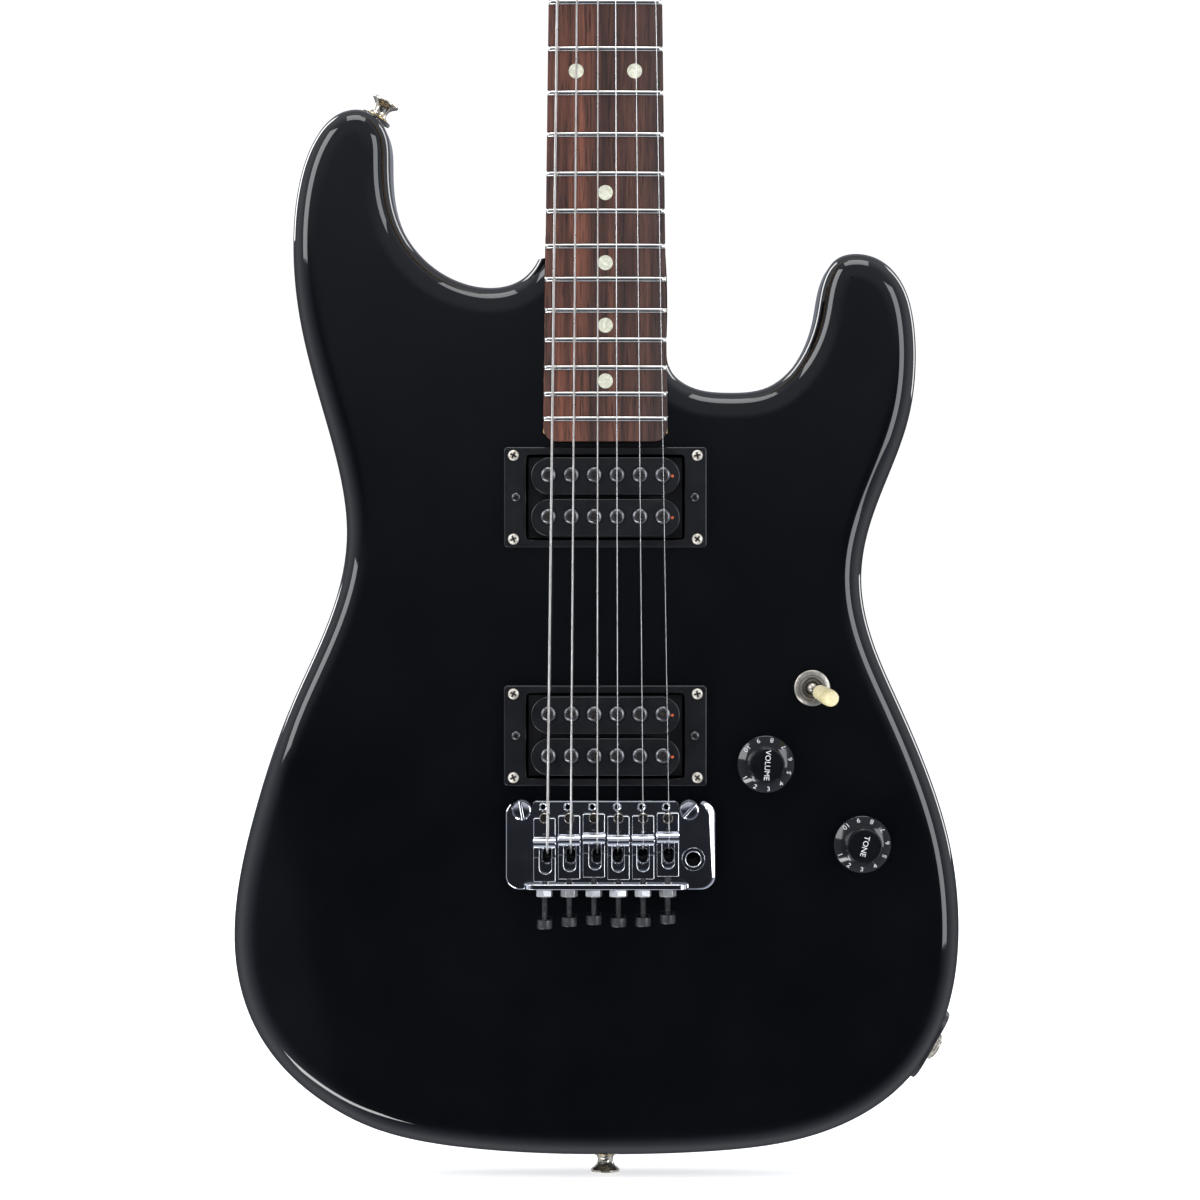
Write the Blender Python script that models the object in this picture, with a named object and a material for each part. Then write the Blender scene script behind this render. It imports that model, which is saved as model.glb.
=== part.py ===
"""Electric guitar: double-cutaway solid body, bolt-on neck, two humbucking pickups, two-point vibrato.

Frame: the guitar stands upright. +X is the treble side, +Z runs up the neck, and the front faces -Y.
The origin is the centre of the end strap button's outer face, the centreline is x = 0, and y = 0 is
the middle of the body's thickness.
Every length below is in millimetres. MM turns it into metres where a mesh is made.
"""

import math

import bmesh
import bpy
import numpy as np
from mathutils import Matrix, Vector

MM = 0.001
GAP = 0.3  # clearance between pieces that rest on each other

# ---------------------------------------------------------------- driving dimensions

SCALE_LENGTH = 647.7
FRETS = 22
NUT_Z = 798.5

BODY_THICKNESS = 44.5
TOP = -BODY_THICKNESS / 2  # y of the body's front face
BACK = BODY_THICKNESS / 2
ROUNDOVER = 11.0

FRETBOARD_END_Z = 322.9
FRETBOARD_TOP = TOP - 9.5
FRETBOARD_THICKNESS = 6.5
FRETBOARD_HALF_END = 27.2
FRETBOARD_HALF_NUT = 21.3
FRETBOARD_RADIUS = 305.0
FRET_HEIGHT = 1.1
FRET_HALF_WIDTH = 1.15

NECK_FRONT = FRETBOARD_TOP + FRETBOARD_THICKNESS + GAP
HEEL_END_Z = 326.6
POCKET_END_Z = 404.0
POCKET_FLOOR = TOP + 16.0

HEAD_FRONT = -23.0
HEAD_THICKNESS = 14.0
HEAD_BACK = HEAD_FRONT + HEAD_THICKNESS

# strings from the bass side to the treble side
STRING_RADII = (0.58, 0.45, 0.33, 0.22, 0.17, 0.13)
SADDLE_STRING_X = (-25.3, -15.1, -3.5, 5.35, 16.4, 27.7)
NUT_STRING_X = (-17.6, -10.4, -3.1, 3.8, 10.6, 17.4)
CREST_Z = (147.8, 148.9, 149.7, 148.7, 148.9, 150.1)
CREST_Y = -35.6  # the top of each saddle's roller
NUT_CREST_Y = -33.2
POST_STRING_Y = (-31.4, -30.7, -30.0, -29.3, -28.6, -27.9)

PICKUP_Z = {"neck": 298.6, "bridge": 194.3}
RING_HALF = (44.4, 22.0)
RING_OPENING_HALF = (34.7, 18.7)
RING_THICKNESS = 3.4
BOBBIN_HALF = (32.5, 8.2)
BOBBIN_OFFSET = 9.1
BOBBIN_TOP = TOP - 8.6
PICKUP_CAVITY_HALF = (36.5, 20.5)
PICKUP_CAVITY_DEPTH = 22.0

STUD_X = 36.6
STUD_Z = 161.8
STUD_HEAD_RADIUS = 4.2
STUD_GROOVE_RADIUS = 2.9
PLATE_FLOAT = 2.9
PLATE_THICKNESS = 2.6
PLATE_BOTTOM = TOP - PLATE_FLOAT
PLATE_TOP = PLATE_BOTTOM - PLATE_THICKNESS
PLATE_X = (-43.4, 48.0)
PLATE_Z = (127.3, 165.9)
PIVOT = (0, (PLATE_TOP + PLATE_BOTTOM) / 2, STUD_Z - STUD_GROOVE_RADIUS - GAP)
LIP_HALF_X = 36.0
LIP_Z = (127.3, 129.9)
LIP_TOP = PLATE_TOP - 7.2
STRING_HOLE_Z = 140.0
ARM_HOLE = (38.4, 140.5)
ARM_HOLE_RADIUS = 3.2
SADDLE_HALF_WIDTH = 5.1
SADDLE_PITCH = 10.74
SADDLE_MIDDLE_X = 0.34
SADDLE_FRONT, SADDLE_REAR = 10.9, 16.9  # from the roller's crest
SCREW_Y = -30.9
BLOCK_Z = (133.0, 147.0)
BLOCK_X = (-35.0, 31.8)
BLOCK_BOTTOM = 17.0
SPRING_X = (-20.0, 0.0, 20.0)
SPRING_Y = 13.5
CLAW_Z = (236.0, 238.5)

VOLUME_AT = (70.2, 181.8)
TONE_AT = (112.5, 146.7)
SWITCH_AT = (90.6, 215.1)
KNOB_SKIRT_RADIUS = 12.45
KNOB_TOP_RADIUS = 7.7
KNOB_HEIGHT = 15.0
CONTROL_CEILING = TOP + 7.0
SWITCH_TILT = math.radians(25)
SWITCH_LEAN = math.radians(-31)  # which way the lever leans, from +X towards +Z

JACK_AT = (143.9, 56.7)
JACK_ANGLE = math.radians(-29.9)  # the plate's outward normal, from +X towards +Z
JACK_SEAT = 1.2  # how deep the flat seat is cut

END_BUTTON_BASE_Z = 9.0
HORN_BUTTON_BASE = (-102.0, 468.1)
HORN_BUTTON_LEAN = math.radians(59.4)

POST_PITCH = 25.5
FIRST_POST_Z = 829.0
POST_RADIUS = 3.2
POST_LEFT_OF_STRING = POST_RADIUS + 0.9

# Body outline in (x, z), clockwise from the bottom of the body up the bass side. Between the two
# cutaways it runs on under the neck, where the heel is cut square.
BODY_OUTLINE = [
    (0, 9.3), (-64, 12.5), (-99.5, 19.8), (-127, 33.4), (-147, 51.4), (-158.5, 71), (-164.2, 95),
    (-163.5, 121.7), (-155.9, 157), (-137.5, 209.9), (-122, 245.2), (-114.2, 280), (-116.8, 307),
    (-126.1, 342), (-134.9, 377.6), (-137.8, 412.9), (-134.8, 439.4), (-127.7, 458.1),
    (-117, 468.8), (-105.5, 469.6), (-97.2, 461.8), (-94.9, 445), (-91.4, 421.8), (-80, 404.2),
    (-62, 393.4), (-48, 391.7), (-38.5, 394.4), (-32.4, 399.6), (-28.8, 406), (-25, 418),
    (-15, 426), (15, 426), (24, 418), (26.8, 405), (27.2, 370), (29.4, 354.4), (37.5, 348),
    (54, 345.3), (71.8, 347.8), (85.5, 360.5), (93, 380), (96.4, 396), (102.5, 404.6),
    (111, 406.6), (121, 404), (130.6, 394.4), (136, 377.6), (137.1, 360), (133.8, 333.5),
    (124.3, 307), (115.5, 282), (113, 262.9), (117.8, 236.4), (129, 209.6), (143.6, 174.6),
    (151.6, 148), (155.5, 121), (154.9, 92), (147.8, 64.5), (131, 40), (112.4, 26.3), (86, 16.1),
    (50, 10.9),
]  # fmt: skip

# Headstock outline, anticlockwise from the treble side of the nut.
HEAD_OUTLINE = [
    (21.3, 792), (22.5, 806), (27, 822), (31.5, 850), (34, 890), (34.5, 925), (34, 955),
    (30, 975), (21, 984), (10.5, 981), (2.5, 968), (-3.5, 948), (-15.5, 905), (-27.5, 862),
    (-34, 839), (-35.5, 828), (-31, 819), (-24, 808), (-21.3, 792),
]  # fmt: skip

CONTROL_CAVITY = [
    (56, 170), (62, 228), (84, 238), (103, 229), (112, 190), (129, 160), (131, 130),
    (114, 114), (88, 120), (64, 146),
]  # fmt: skip

COLOURS = {
    "black_gloss": ((0.006, 0.006, 0.008, 1), 0.06, 0.0),
    "maple": ((0.62, 0.42, 0.20, 1), 0.30, 0.0),
    "rosewood": ((0.12, 0.05, 0.03, 1), 0.45, 0.0),
    "bone": ((0.80, 0.76, 0.66, 1), 0.40, 0.0),
    "chrome": ((0.80, 0.80, 0.82, 1), 0.08, 1.0),
    "nickel": ((0.62, 0.60, 0.55, 1), 0.25, 1.0),
    "steel": ((0.45, 0.45, 0.46, 1), 0.35, 1.0),
    "black_plastic": ((0.012, 0.012, 0.013, 1), 0.30, 0.0),
    "black_metal": ((0.02, 0.02, 0.02, 1), 0.40, 0.8),
}


# ---------------------------------------------------------------- helpers


def closed_spline(knots, steps):
    """Points of the smooth closed cubic curve through the knots, steps of them for each knot."""
    knots = np.array(knots, float)
    count = len(knots)
    ahead = np.roll(knots, -1, 0)
    spans = np.linalg.norm(ahead - knots, axis=1)
    rates = (ahead - knots) / spans[:, None]
    matrix = np.zeros((count, count))
    for i, span in enumerate(spans):
        matrix[i, i - 1] += spans[i - 1]
        matrix[i, i] += 2 * (spans[i - 1] + span)
        matrix[i, (i + 1) % count] += span
    bends = np.linalg.solve(matrix, 6 * (rates - np.roll(rates, 1, 0)))
    points = []
    for i, span in enumerate(spans):
        j = (i + 1) % count
        for b in np.arange(steps) / steps:
            a = 1 - b
            curve = (a**3 - a) * bends[i] + (b**3 - b) * bends[j]
            points.append(a * knots[i] + b * knots[j] + span**2 / 6 * curve)
    return np.array(points)


def inward_normals(points):
    """Unit normals into a closed outline, whichever way round it runs."""
    along = np.roll(points, -1, 0) - np.roll(points, 1, 0)
    along /= np.linalg.norm(along, axis=1)[:, None]
    x, z = points.T
    area = (x * np.roll(z, -1) - np.roll(x, -1) * z).sum()
    return np.stack([-along[:, 1], along[:, 0]], 1) * np.sign(area)


def rounded_rectangle(x0, x1, z0, z1, radius, steps=3):
    corners = ((x1 - radius, z0 + radius, -90), (x1 - radius, z1 - radius, 0),
               (x0 + radius, z1 - radius, 90), (x0 + radius, z0 + radius, 180))  # fmt: skip
    points = []
    for cx, cz, start in corners:
        for k in range(steps + 1):
            a = math.radians(start + 90 * k / steps)
            points.append((cx + radius * math.cos(a), cz + radius * math.sin(a)))
    return points


def loft(rings, closed=False):
    """A solid through rings of equal length. Closed joins the last ring to the first."""
    bm = bmesh.new()
    rows = [[bm.verts.new(p) for p in ring] for ring in rings]
    pairs = list(zip(rows, rows[1:] + rows[:1])) if closed else list(zip(rows, rows[1:]))
    for low, high in pairs:
        for k in range(len(low)):
            j = (k + 1) % len(low)
            bm.faces.new((low[k], low[j], high[j], high[k]))
    if not closed:
        bm.faces.new(rows[0])
        bm.faces.new(rows[-1])
    bmesh.ops.recalc_face_normals(bm, faces=bm.faces)
    return bm


def prism(outline, y0, y1):
    """An outline in (x, z) extruded from y0 to y1."""
    return loft([[(x, y, z) for x, z in outline] for y in (y0, y1)])


def box(x0, x1, y0, y1, z0, z1):
    return prism([(x0, z0), (x1, z0), (x1, z1), (x0, z1)], y0, y1)


def turned(profile, sides, ring=False):
    """A profile of (radius, height) turned about +Z. A ring profile is a closed section."""
    rings = []
    for radius, height in profile:
        turns = [2 * math.pi * k / sides for k in range(sides)]
        rings.append([(radius * math.cos(a), radius * math.sin(a), height) for a in turns])
    return loft(rings, ring)


def placed(bm, at, direction, spin=0.0):
    """Moves a mesh built about +Z to a point, with +Z turned to a direction."""
    turn = Vector(direction).normalized().to_track_quat("Z", "Y").to_matrix().to_4x4()
    bm.transform(Matrix.Translation(at) @ turn @ Matrix.Rotation(spin, 4, "Z"))
    return bm


def rod(start, end, radius, sides=12):
    """A cylinder between two points."""
    along = Vector(end) - Vector(start)
    return placed(turned([(radius, 0), (radius, along.length)], sides), start, along)


def tube(points, radius, sides=6):
    """A round wire along a path, with mitred bends."""
    points = [Vector(p) for p in points]
    rings = []
    for i, point in enumerate(points):
        before = (point - points[max(i - 1, 0)]).normalized()
        after = (points[min(i + 1, len(points) - 1)] - point).normalized()
        along = (before + after).normalized()
        side = Vector((1, 0, 0)) - along * along.x
        side.normalize()
        up = along.cross(side)
        turns = [2 * math.pi * k / sides for k in range(sides)]
        rings.append([point + radius * (side * math.cos(a) + up * math.sin(a)) for a in turns])
    return loft(rings)


def mesh_object(name, bm):
    mesh = bpy.data.meshes.new(name)
    bm.to_mesh(mesh)
    bm.free()
    thing = bpy.data.objects.new(name, mesh)
    bpy.context.scene.collection.objects.link(thing)
    return thing


def combined(bm, operation, others):
    """The mesh after a Boolean with each of the others in turn."""
    base = mesh_object("base", bm)
    tools = [mesh_object("tool", other) for other in others]
    for tool in tools:
        modifier = base.modifiers.new("combine", "BOOLEAN")
        modifier.operation = operation
        modifier.object = tool
        modifier.solver = "EXACT"
    bpy.context.view_layer.update()
    result = bmesh.new()
    result.from_object(base, bpy.context.evaluated_depsgraph_get())
    for thing in (base, *tools):
        bpy.data.objects.remove(thing)
    return result


def cut(bm, *cutters):
    return combined(bm, "DIFFERENCE", cutters)


def union(bm, *pieces):
    return combined(bm, "UNION", pieces)


def node(name, bm, finish, origin=(0, 0, 0)):
    """The finished sub-part: its mesh in metres about its own origin, its material, its shading."""
    bm.transform(Matrix.Scale(MM, 4) @ Matrix.Translation(-Vector(origin)))
    thing = mesh_object(name, bm)
    thing.location = Vector(origin) * MM
    colour, roughness, metallic = COLOURS[finish]
    material = bpy.data.materials.new(name)
    material.use_nodes = True
    shader = material.node_tree.nodes["Principled BSDF"]
    shader.inputs["Base Color"].default_value = colour
    shader.inputs["Roughness"].default_value = roughness
    shader.inputs["Metallic"].default_value = metallic
    thing.data.materials.append(material)
    thing.data.shade_smooth()
    thing.data.set_sharp_from_angle(angle=math.radians(35))
    return thing


def fretboard_half(z):
    """Half the fingerboard's width at a height."""
    along = (z - FRETBOARD_END_Z) / (NUT_Z - FRETBOARD_END_Z)
    return FRETBOARD_HALF_END + along * (FRETBOARD_HALF_NUT - FRETBOARD_HALF_END)


def fret_z(number):
    return NUT_Z - SCALE_LENGTH * (1 - 2 ** (-number / 12))


def saddle_x(i):
    return SADDLE_MIDDLE_X + (i - 2.5) * SADDLE_PITCH


def post_at(i):
    return NUT_STRING_X[i] - POST_LEFT_OF_STRING, FIRST_POST_Z + i * POST_PITCH


def post_line():
    """Unit vectors along the row of tuners and out to their buttons."""
    (x0, z0), (x1, z1) = post_at(0), post_at(5)
    along = Vector((x1 - x0, 0, z1 - z0)).normalized()
    return along, Vector((-along.z, 0, along.x))


# ---------------------------------------------------------------- body and neck


def rim_rings(outline, steps):
    """The body's rounded rim: rings from the front face round the side to the back face."""
    normals = inward_normals(outline)
    along = np.roll(outline, -1, 0) - outline
    heading = np.unwrap(np.arctan2(along[:, 1], along[:, 0]))
    turning = np.abs(np.diff(heading, append=heading[0] + round(heading[-1] - heading[0])))
    spans = np.linalg.norm(along, axis=1)
    tightest = 0.8 * spans / np.maximum(turning, 1e-3)
    widths = np.minimum(ROUNDOVER, np.maximum(tightest, 0.6 * ROUNDOVER))
    for _ in range(6):
        widths = (np.roll(widths, 1) + widths + np.roll(widths, -1)) / 3
    rings = []
    for face, side in ((TOP, 1), (BACK, -1)):
        arc = []
        for k in range(steps + 1):
            a = math.pi / 2 * (1 - k / steps)
            inset = outline + normals * (widths * (1 - math.cos(a)))[:, None]
            y = face + side * ROUNDOVER * (1 - math.sin(a))
            arc.append([(x, y, z) for x, z in inset])
        rings += arc if side == 1 else arc[::-1]
    return rings


def tilted_slab(point, normal, across):
    """A thick slab whose flat face passes through a point, square to an outward normal."""
    slab = box(-across, across, -across, across, 0, across)
    return placed(slab, point, normal)


def scoop(deepest, outward, radius, reach):
    """A shallow bowl, part of a large sphere, that hollows a face around its deepest point."""
    profile = [(r, r**2 / (2 * radius)) for r in np.linspace(4, reach, 8)]
    profile.append((reach, 80))
    return placed(turned(profile, 32), deepest, outward)


def offset_outline(outline, distance):
    return outline - inward_normals(outline) * distance


def neck_bolts():
    return [(x, z) for x in (-19, 19) for z in (342, 391)]


def jack_direction():
    return Vector((math.cos(JACK_ANGLE), 0, math.sin(JACK_ANGLE)))


def jack_point(outwards):
    """A point on the jack's axis, a distance out of the flat seat."""
    return Vector((JACK_AT[0], 0, JACK_AT[1])) + jack_direction() * (outwards - JACK_SEAT)


def make_body():
    outline = closed_spline(BODY_OUTLINE, 2)
    body = loft(rim_rings(outline, 3))
    wide = fretboard_half(HEEL_END_Z) + GAP
    narrow = fretboard_half(POCKET_END_Z) + GAP
    pocket = [(-wide, HEEL_END_Z - GAP), (wide, HEEL_END_Z - GAP), (narrow, 415), (-narrow, 415)]
    control = closed_spline(CONTROL_CAVITY, 4)
    cutters = [
        box(-45, 45, -40, 40, POCKET_END_Z, 440),  # the heel's square end
        box(20, 40, -40, POCKET_FLOOR, 357, 415),  # the neck is free on the treble side
        prism(pocket, -40, POCKET_FLOOR),
        box(-39, 47, -40, 0, 127.5, 157),  # slot under the bridge plate
        box(-39, 47, -5, 40, 121, 157),
        box(-31, 31, 5.2, 40, 150, 256),
        prism(control, CONTROL_CEILING, 40),
        prism(offset_outline(control, 6.4), BACK - 2.2, 40),
        tilted_slab(jack_point(0), jack_direction(), 19),
        rod(jack_point(-34), jack_point(10), 10.2, 20),
    ]
    for z in PICKUP_Z.values():
        dx, dz = PICKUP_CAVITY_HALF
        cutters.append(box(-dx, dx, -40, TOP + PICKUP_CAVITY_DEPTH, z - dz, z + dz))
    for x in (-STUD_X, STUD_X):
        cutters.append(rod((x, -40, STUD_Z), (x, TOP + 19, STUD_Z), STUD_HEAD_RADIUS + GAP, 16))
    for x, z in neck_bolts():
        cutters.append(rod((x, -10, z), (x, 40, z), 2.6, 10))
    for x, z in (VOLUME_AT, TONE_AT, SWITCH_AT):
        cutters.append(rod((x, -40, z), (x, 0, z), 4.9, 14))
    for x in (-14, 14):
        cutters.append(rod((x, SPRING_Y, 250), (x, SPRING_Y, 276), 2.3, 8))
    # the forearm contour on the front and the belly contour on the back
    cutters.append(tilted_slab((-128, TOP, 118), (-0.235, -1, -0.05), 160))
    cutters.append(scoop((-120, BACK - 13, 290), (-0.25, 1, 0), 700, 230))
    return node("body", cut(body, *cutters), "black_gloss")


def neck_section(z, back, flat):
    """One ring of the neck: flat in front, round or squarer at the back."""
    half = fretboard_half(z)
    depth = back - NECK_FRONT
    ring = [(half, NECK_FRONT, z), (-half, NECK_FRONT, z)]
    for k in range(1, 12):
        a = math.pi * k / 12
        x, y = math.cos(a), math.sin(a)
        x = math.copysign(abs(x) ** flat, x)
        ring.append((-half * x, NECK_FRONT + depth * y**flat, z))
    return ring


def make_neck():
    heel = POCKET_FLOOR - GAP
    stations = [
        (HEEL_END_Z, heel, 0.12), (POCKET_END_Z - 6, heel, 0.12), (416, heel - 1.0, 0.45),
        (430, -8.8, 0.72), (474, -9.1, 0.80), (620, -9.9, 0.84), (770, -10.8, 0.84),
        (790, -10.2, 0.70),
    ]  # fmt: skip
    shaft = loft([neck_section(*station) for station in stations])
    shaft = union(
        shaft,
        box(-21.2, 21.2, NECK_FRONT, -9.5, 786, 802.7),
        prism(closed_spline(HEAD_OUTLINE, 2), HEAD_FRONT, HEAD_BACK),
    )
    cutters = [box(-3.6, 3.6, -40, NECK_FRONT + 10, 340, 780)]
    cutters += [rod((x, -20, z), (x, 0, z), 2.6, 10) for x, z in neck_bolts()]
    for i in range(6):
        x, z = post_at(i)
        cutters.append(rod((x, -40, z), (x, 10, z), POST_RADIUS + 1.2, 12))
    return node("neck", cut(shaft, *cutters), "maple")


def crown_y(x, half):
    """How far the fingerboard's round top falls below its middle."""
    return FRETBOARD_RADIUS - math.sqrt(FRETBOARD_RADIUS**2 - min(abs(x), half) ** 2)


def make_fretboard():
    """The slab with its frets, as one loft: the top rises by a fret's height at each fret."""
    stations = [(0.0, -5.5, 0), (1.2, -2.6, 0), (3.6, -0.6, 0), (6.5, 0, 0)]
    for number in range(FRETS, 0, -1):
        z = fret_z(number) - FRETBOARD_END_Z
        stations += [(z - FRET_HALF_WIDTH, 0, 0), (z - 0.6, 0, FRET_HEIGHT)]
        stations += [(z + 0.6, 0, FRET_HEIGHT), (z + FRET_HALF_WIDTH, 0, 0)]
    stations.append((NUT_Z - GAP - FRETBOARD_END_Z, 0, 0))
    rings = []
    for up, narrower, rise in stations:
        z = FRETBOARD_END_Z + up
        half = fretboard_half(z) + narrower
        ring = []
        for k in range(7):
            x = half * (k / 3 - 1)
            ring.append((x, FRETBOARD_TOP + crown_y(x, half) - rise, z))
        bottom = FRETBOARD_TOP + FRETBOARD_THICKNESS
        rings.append(ring + [(half, bottom, z), (-half, bottom, z)])
    return node("fretboard", loft(rings), "rosewood")


def make_neck_fittings():
    node("nut", box(-21.2, 21.2, NUT_CREST_Y, NECK_FRONT - GAP, NUT_Z, NUT_Z + 4), "bone")
    rod_y = NECK_FRONT + 6
    node("truss_rod", rod((0, rod_y, 342), (0, rod_y, 778), 3.0, 12), "steel")
    plate = prism(rounded_rectangle(-25.5, 25.5, 334.5, 398.5, 4), BACK + GAP, BACK + 1.9)
    bolts = []
    for x, z in neck_bolts():
        profile = [(2.2, 0), (2.2, 42), (4.3, 42), (4.3, 42.8), (2.4, 44.4)]
        bolts.append(placed(turned(profile, 10), (x, BACK - 40.6, z), (0, 1, 0)))
    node("neck_plate", union(plate, *bolts), "chrome")


# ---------------------------------------------------------------- pickups


def make_pickup(name):
    z = PICKUP_Z[name]
    dx, dz = RING_HALF
    ring = prism(rounded_rectangle(-dx, dx, z - dz, z + dz, 1.5, 1), TOP - GAP - RING_THICKNESS,
                 TOP - GAP)  # fmt: skip
    hx, hz = RING_OPENING_HALF
    opening = prism(rounded_rectangle(-hx, hx, z - hz, z + hz, 2.0, 1), -40, 0)
    node(f"pickup_ring_{name}", cut(ring, opening), "black_plastic")
    bottom = BOBBIN_TOP + 11.5
    base = box(1 - hx, hx - 1, bottom + GAP, bottom + 5.5, z + 1 - hz, z + hz - 1)
    node(f"pickup_{name}_base", base, "nickel")
    bx, bz = BOBBIN_HALF
    for letter, side in (("a", 1), ("b", -1)):
        middle = z + side * BOBBIN_OFFSET
        outline = rounded_rectangle(-bx, bx, middle - bz, middle + bz, bz - 0.2, 5)
        node(f"pickup_{name}_bobbin_{letter}", prism(outline, BOBBIN_TOP, bottom), "black_plastic")


# ---------------------------------------------------------------- vibrato bridge


def make_bridge_plate():
    outline = rounded_rectangle(*PLATE_X, *PLATE_Z, 6, 4)
    plate = prism(outline, PLATE_TOP, PLATE_BOTTOM)
    lip = box(SADDLE_MIDDLE_X - LIP_HALF_X, SADDLE_MIDDLE_X + LIP_HALF_X, LIP_TOP,
              PLATE_BOTTOM - 0.5, *LIP_Z)  # fmt: skip
    cutters = []
    for x in (-STUD_X, STUD_X):
        radius = STUD_GROOVE_RADIUS + GAP
        cutters.append(rod((x, -40, STUD_Z), (x, 0, STUD_Z), radius, 16))
        flare = [(x - 2.6, STUD_Z), (x + 2.6, STUD_Z), (x + 6.5, 168), (x - 6.5, 168)]
        cutters.append(prism(flare, -40, 0))
    for i in range(6):
        x = saddle_x(i)
        hole_x = SADDLE_STRING_X[i]
        cutters.append(rod((hole_x, -40, STRING_HOLE_Z), (hole_x, 0, STRING_HOLE_Z), 1.5, 8))
        cutters.append(rod((x, SCREW_Y, 120), (x, SCREW_Y, 134), 1.9, 8))
    arm = rod((ARM_HOLE[0], -40, ARM_HOLE[1]), (ARM_HOLE[0], 0, ARM_HOLE[1]), 5.3, 20)
    node("bridge_plate", cut(union(plate, lip), *cutters, arm), "chrome", PIVOT)


def make_vibrato_underside():
    block = box(*BLOCK_X, PLATE_BOTTOM + GAP, BLOCK_BOTTOM, *BLOCK_Z)
    holes = []
    for x in SADDLE_STRING_X:
        holes.append(rod((x, -40, STRING_HOLE_Z), (x, 30, STRING_HOLE_Z), 1.5, 8))
    holes.append(rod((ARM_HOLE[0], -40, ARM_HOLE[1]), (ARM_HOLE[0], 30, ARM_HOLE[1]), 6.8, 16))
    node("inertia_block", cut(block, *holes), "steel", PIVOT)
    section = [(ARM_HOLE_RADIUS, 0), (5.0, 0), (5.0, PLATE_THICKNESS + 0.3),
               (6.2, PLATE_THICKNESS + 0.3), (6.2, 24), (ARM_HOLE_RADIUS, 24)]  # fmt: skip
    at = (ARM_HOLE[0], PLATE_TOP, ARM_HOLE[1])
    socket = placed(turned(section, 20, ring=True), at, (0, 1, 0))
    node("arm_socket", socket, "steel", PIVOT)
    for i, x in enumerate(SPRING_X):
        start, end = (x, SPRING_Y, BLOCK_Z[1] + GAP), (x, SPRING_Y, CLAW_Z[0] - GAP)
        node(f"vibrato_spring_{i + 1}", rod(start, end, 3.6, 10), "nickel")
    claw = box(-28, 28, SPRING_Y - 6, SPRING_Y + 5, *CLAW_Z)
    screws = [rod((x, SPRING_Y, CLAW_Z[0] - 1.5), (x, SPRING_Y, 274), 1.9, 8) for x in (-14, 14)]
    node("spring_claw", union(claw, *screws), "steel")
    cover = prism(rounded_rectangle(-50, 50, 112, 264, 8), BACK + GAP, BACK + GAP + 1.6)
    slot = prism(rounded_rectangle(-31, 31, 133, 147, 5), 0, 40)
    node("spring_cover", cut(cover, slot), "black_plastic")


def make_saddle(i):
    """Front block, round crest, slotted rear plate and the intonation screw, as one slider."""
    x, crest = saddle_x(i), CREST_Z[i]
    bottom = PLATE_TOP - GAP
    side = [
        (-SADDLE_REAR, bottom), (SADDLE_FRONT, bottom), (SADDLE_FRONT, -31.8), (2.6, -32.6),
        (1.9, -34.6), (1.2, -35.4), (0, CREST_Y), (-1.2, -35.4), (-1.9, -34.6), (-2.6, -33.4),
        (-6.4, -32.2), (-SADDLE_REAR, -32.2),
    ]  # fmt: skip
    ends = (x - SADDLE_HALF_WIDTH, x + SADDLE_HALF_WIDTH)
    block = loft([[(end, y, crest + z) for z, y in side] for end in ends])
    slot = prism(rounded_rectangle(x - 2.6, x + 2.6, crest - 13.4, crest - 3.2, 2.5), -40, 0)
    rear = crest - SADDLE_REAR
    head = CREST_Z[i] - 38.2
    screw = rod((x, SCREW_Y, rear + 1.5), (x, SCREW_Y, head), 1.3, 8)
    cap = rod((x, SCREW_Y, head + 0.2), (x, SCREW_Y, head + 4), 3.3, 12)
    node(f"saddle_{i + 1}", union(cut(block, slot), screw, cap), "chrome", (x, PLATE_TOP, crest))


def make_pivot_studs():
    collar = [(3.9, 19.0), (3.9, 0), (4.1, 0), (4.1, -1.7), (STUD_GROOVE_RADIUS, -1.7),
              (STUD_GROOVE_RADIUS, -6.8), (STUD_HEAD_RADIUS, -6.8), (STUD_HEAD_RADIUS, -8.2),
              (STUD_HEAD_RADIUS - 0.6, -8.9)]  # fmt: skip
    profile = [(radius, -height) for radius, height in collar]
    for name, x in (("bass", -STUD_X), ("treble", STUD_X)):
        stud = placed(turned(profile, 14), (x, TOP - 0.1, STUD_Z), (0, -1, 0))
        node(f"pivot_stud_{name}", stud, "chrome")


def make_string(i):
    r = STRING_RADII[i]
    post_x, post_z = post_at(i)
    path = [
        (SADDLE_STRING_X[i], 8.0, STRING_HOLE_Z),
        (SADDLE_STRING_X[i], PLATE_TOP - 1.5, STRING_HOLE_Z),
        (SADDLE_STRING_X[i], CREST_Y + 0.2, CREST_Z[i] - 3.2),
        (SADDLE_STRING_X[i], CREST_Y - GAP - r, CREST_Z[i] + 0.4),
        (NUT_STRING_X[i], NUT_CREST_Y - GAP - r, NUT_Z + 1),
        (NUT_STRING_X[i], NUT_CREST_Y - GAP - r, NUT_Z + 3.6),
        (post_x + POST_RADIUS + GAP + r, POST_STRING_Y[i], post_z),
    ]
    node(f"string_{i + 1}", tube(path, r), "nickel")


# ---------------------------------------------------------------- controls and fittings


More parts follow.
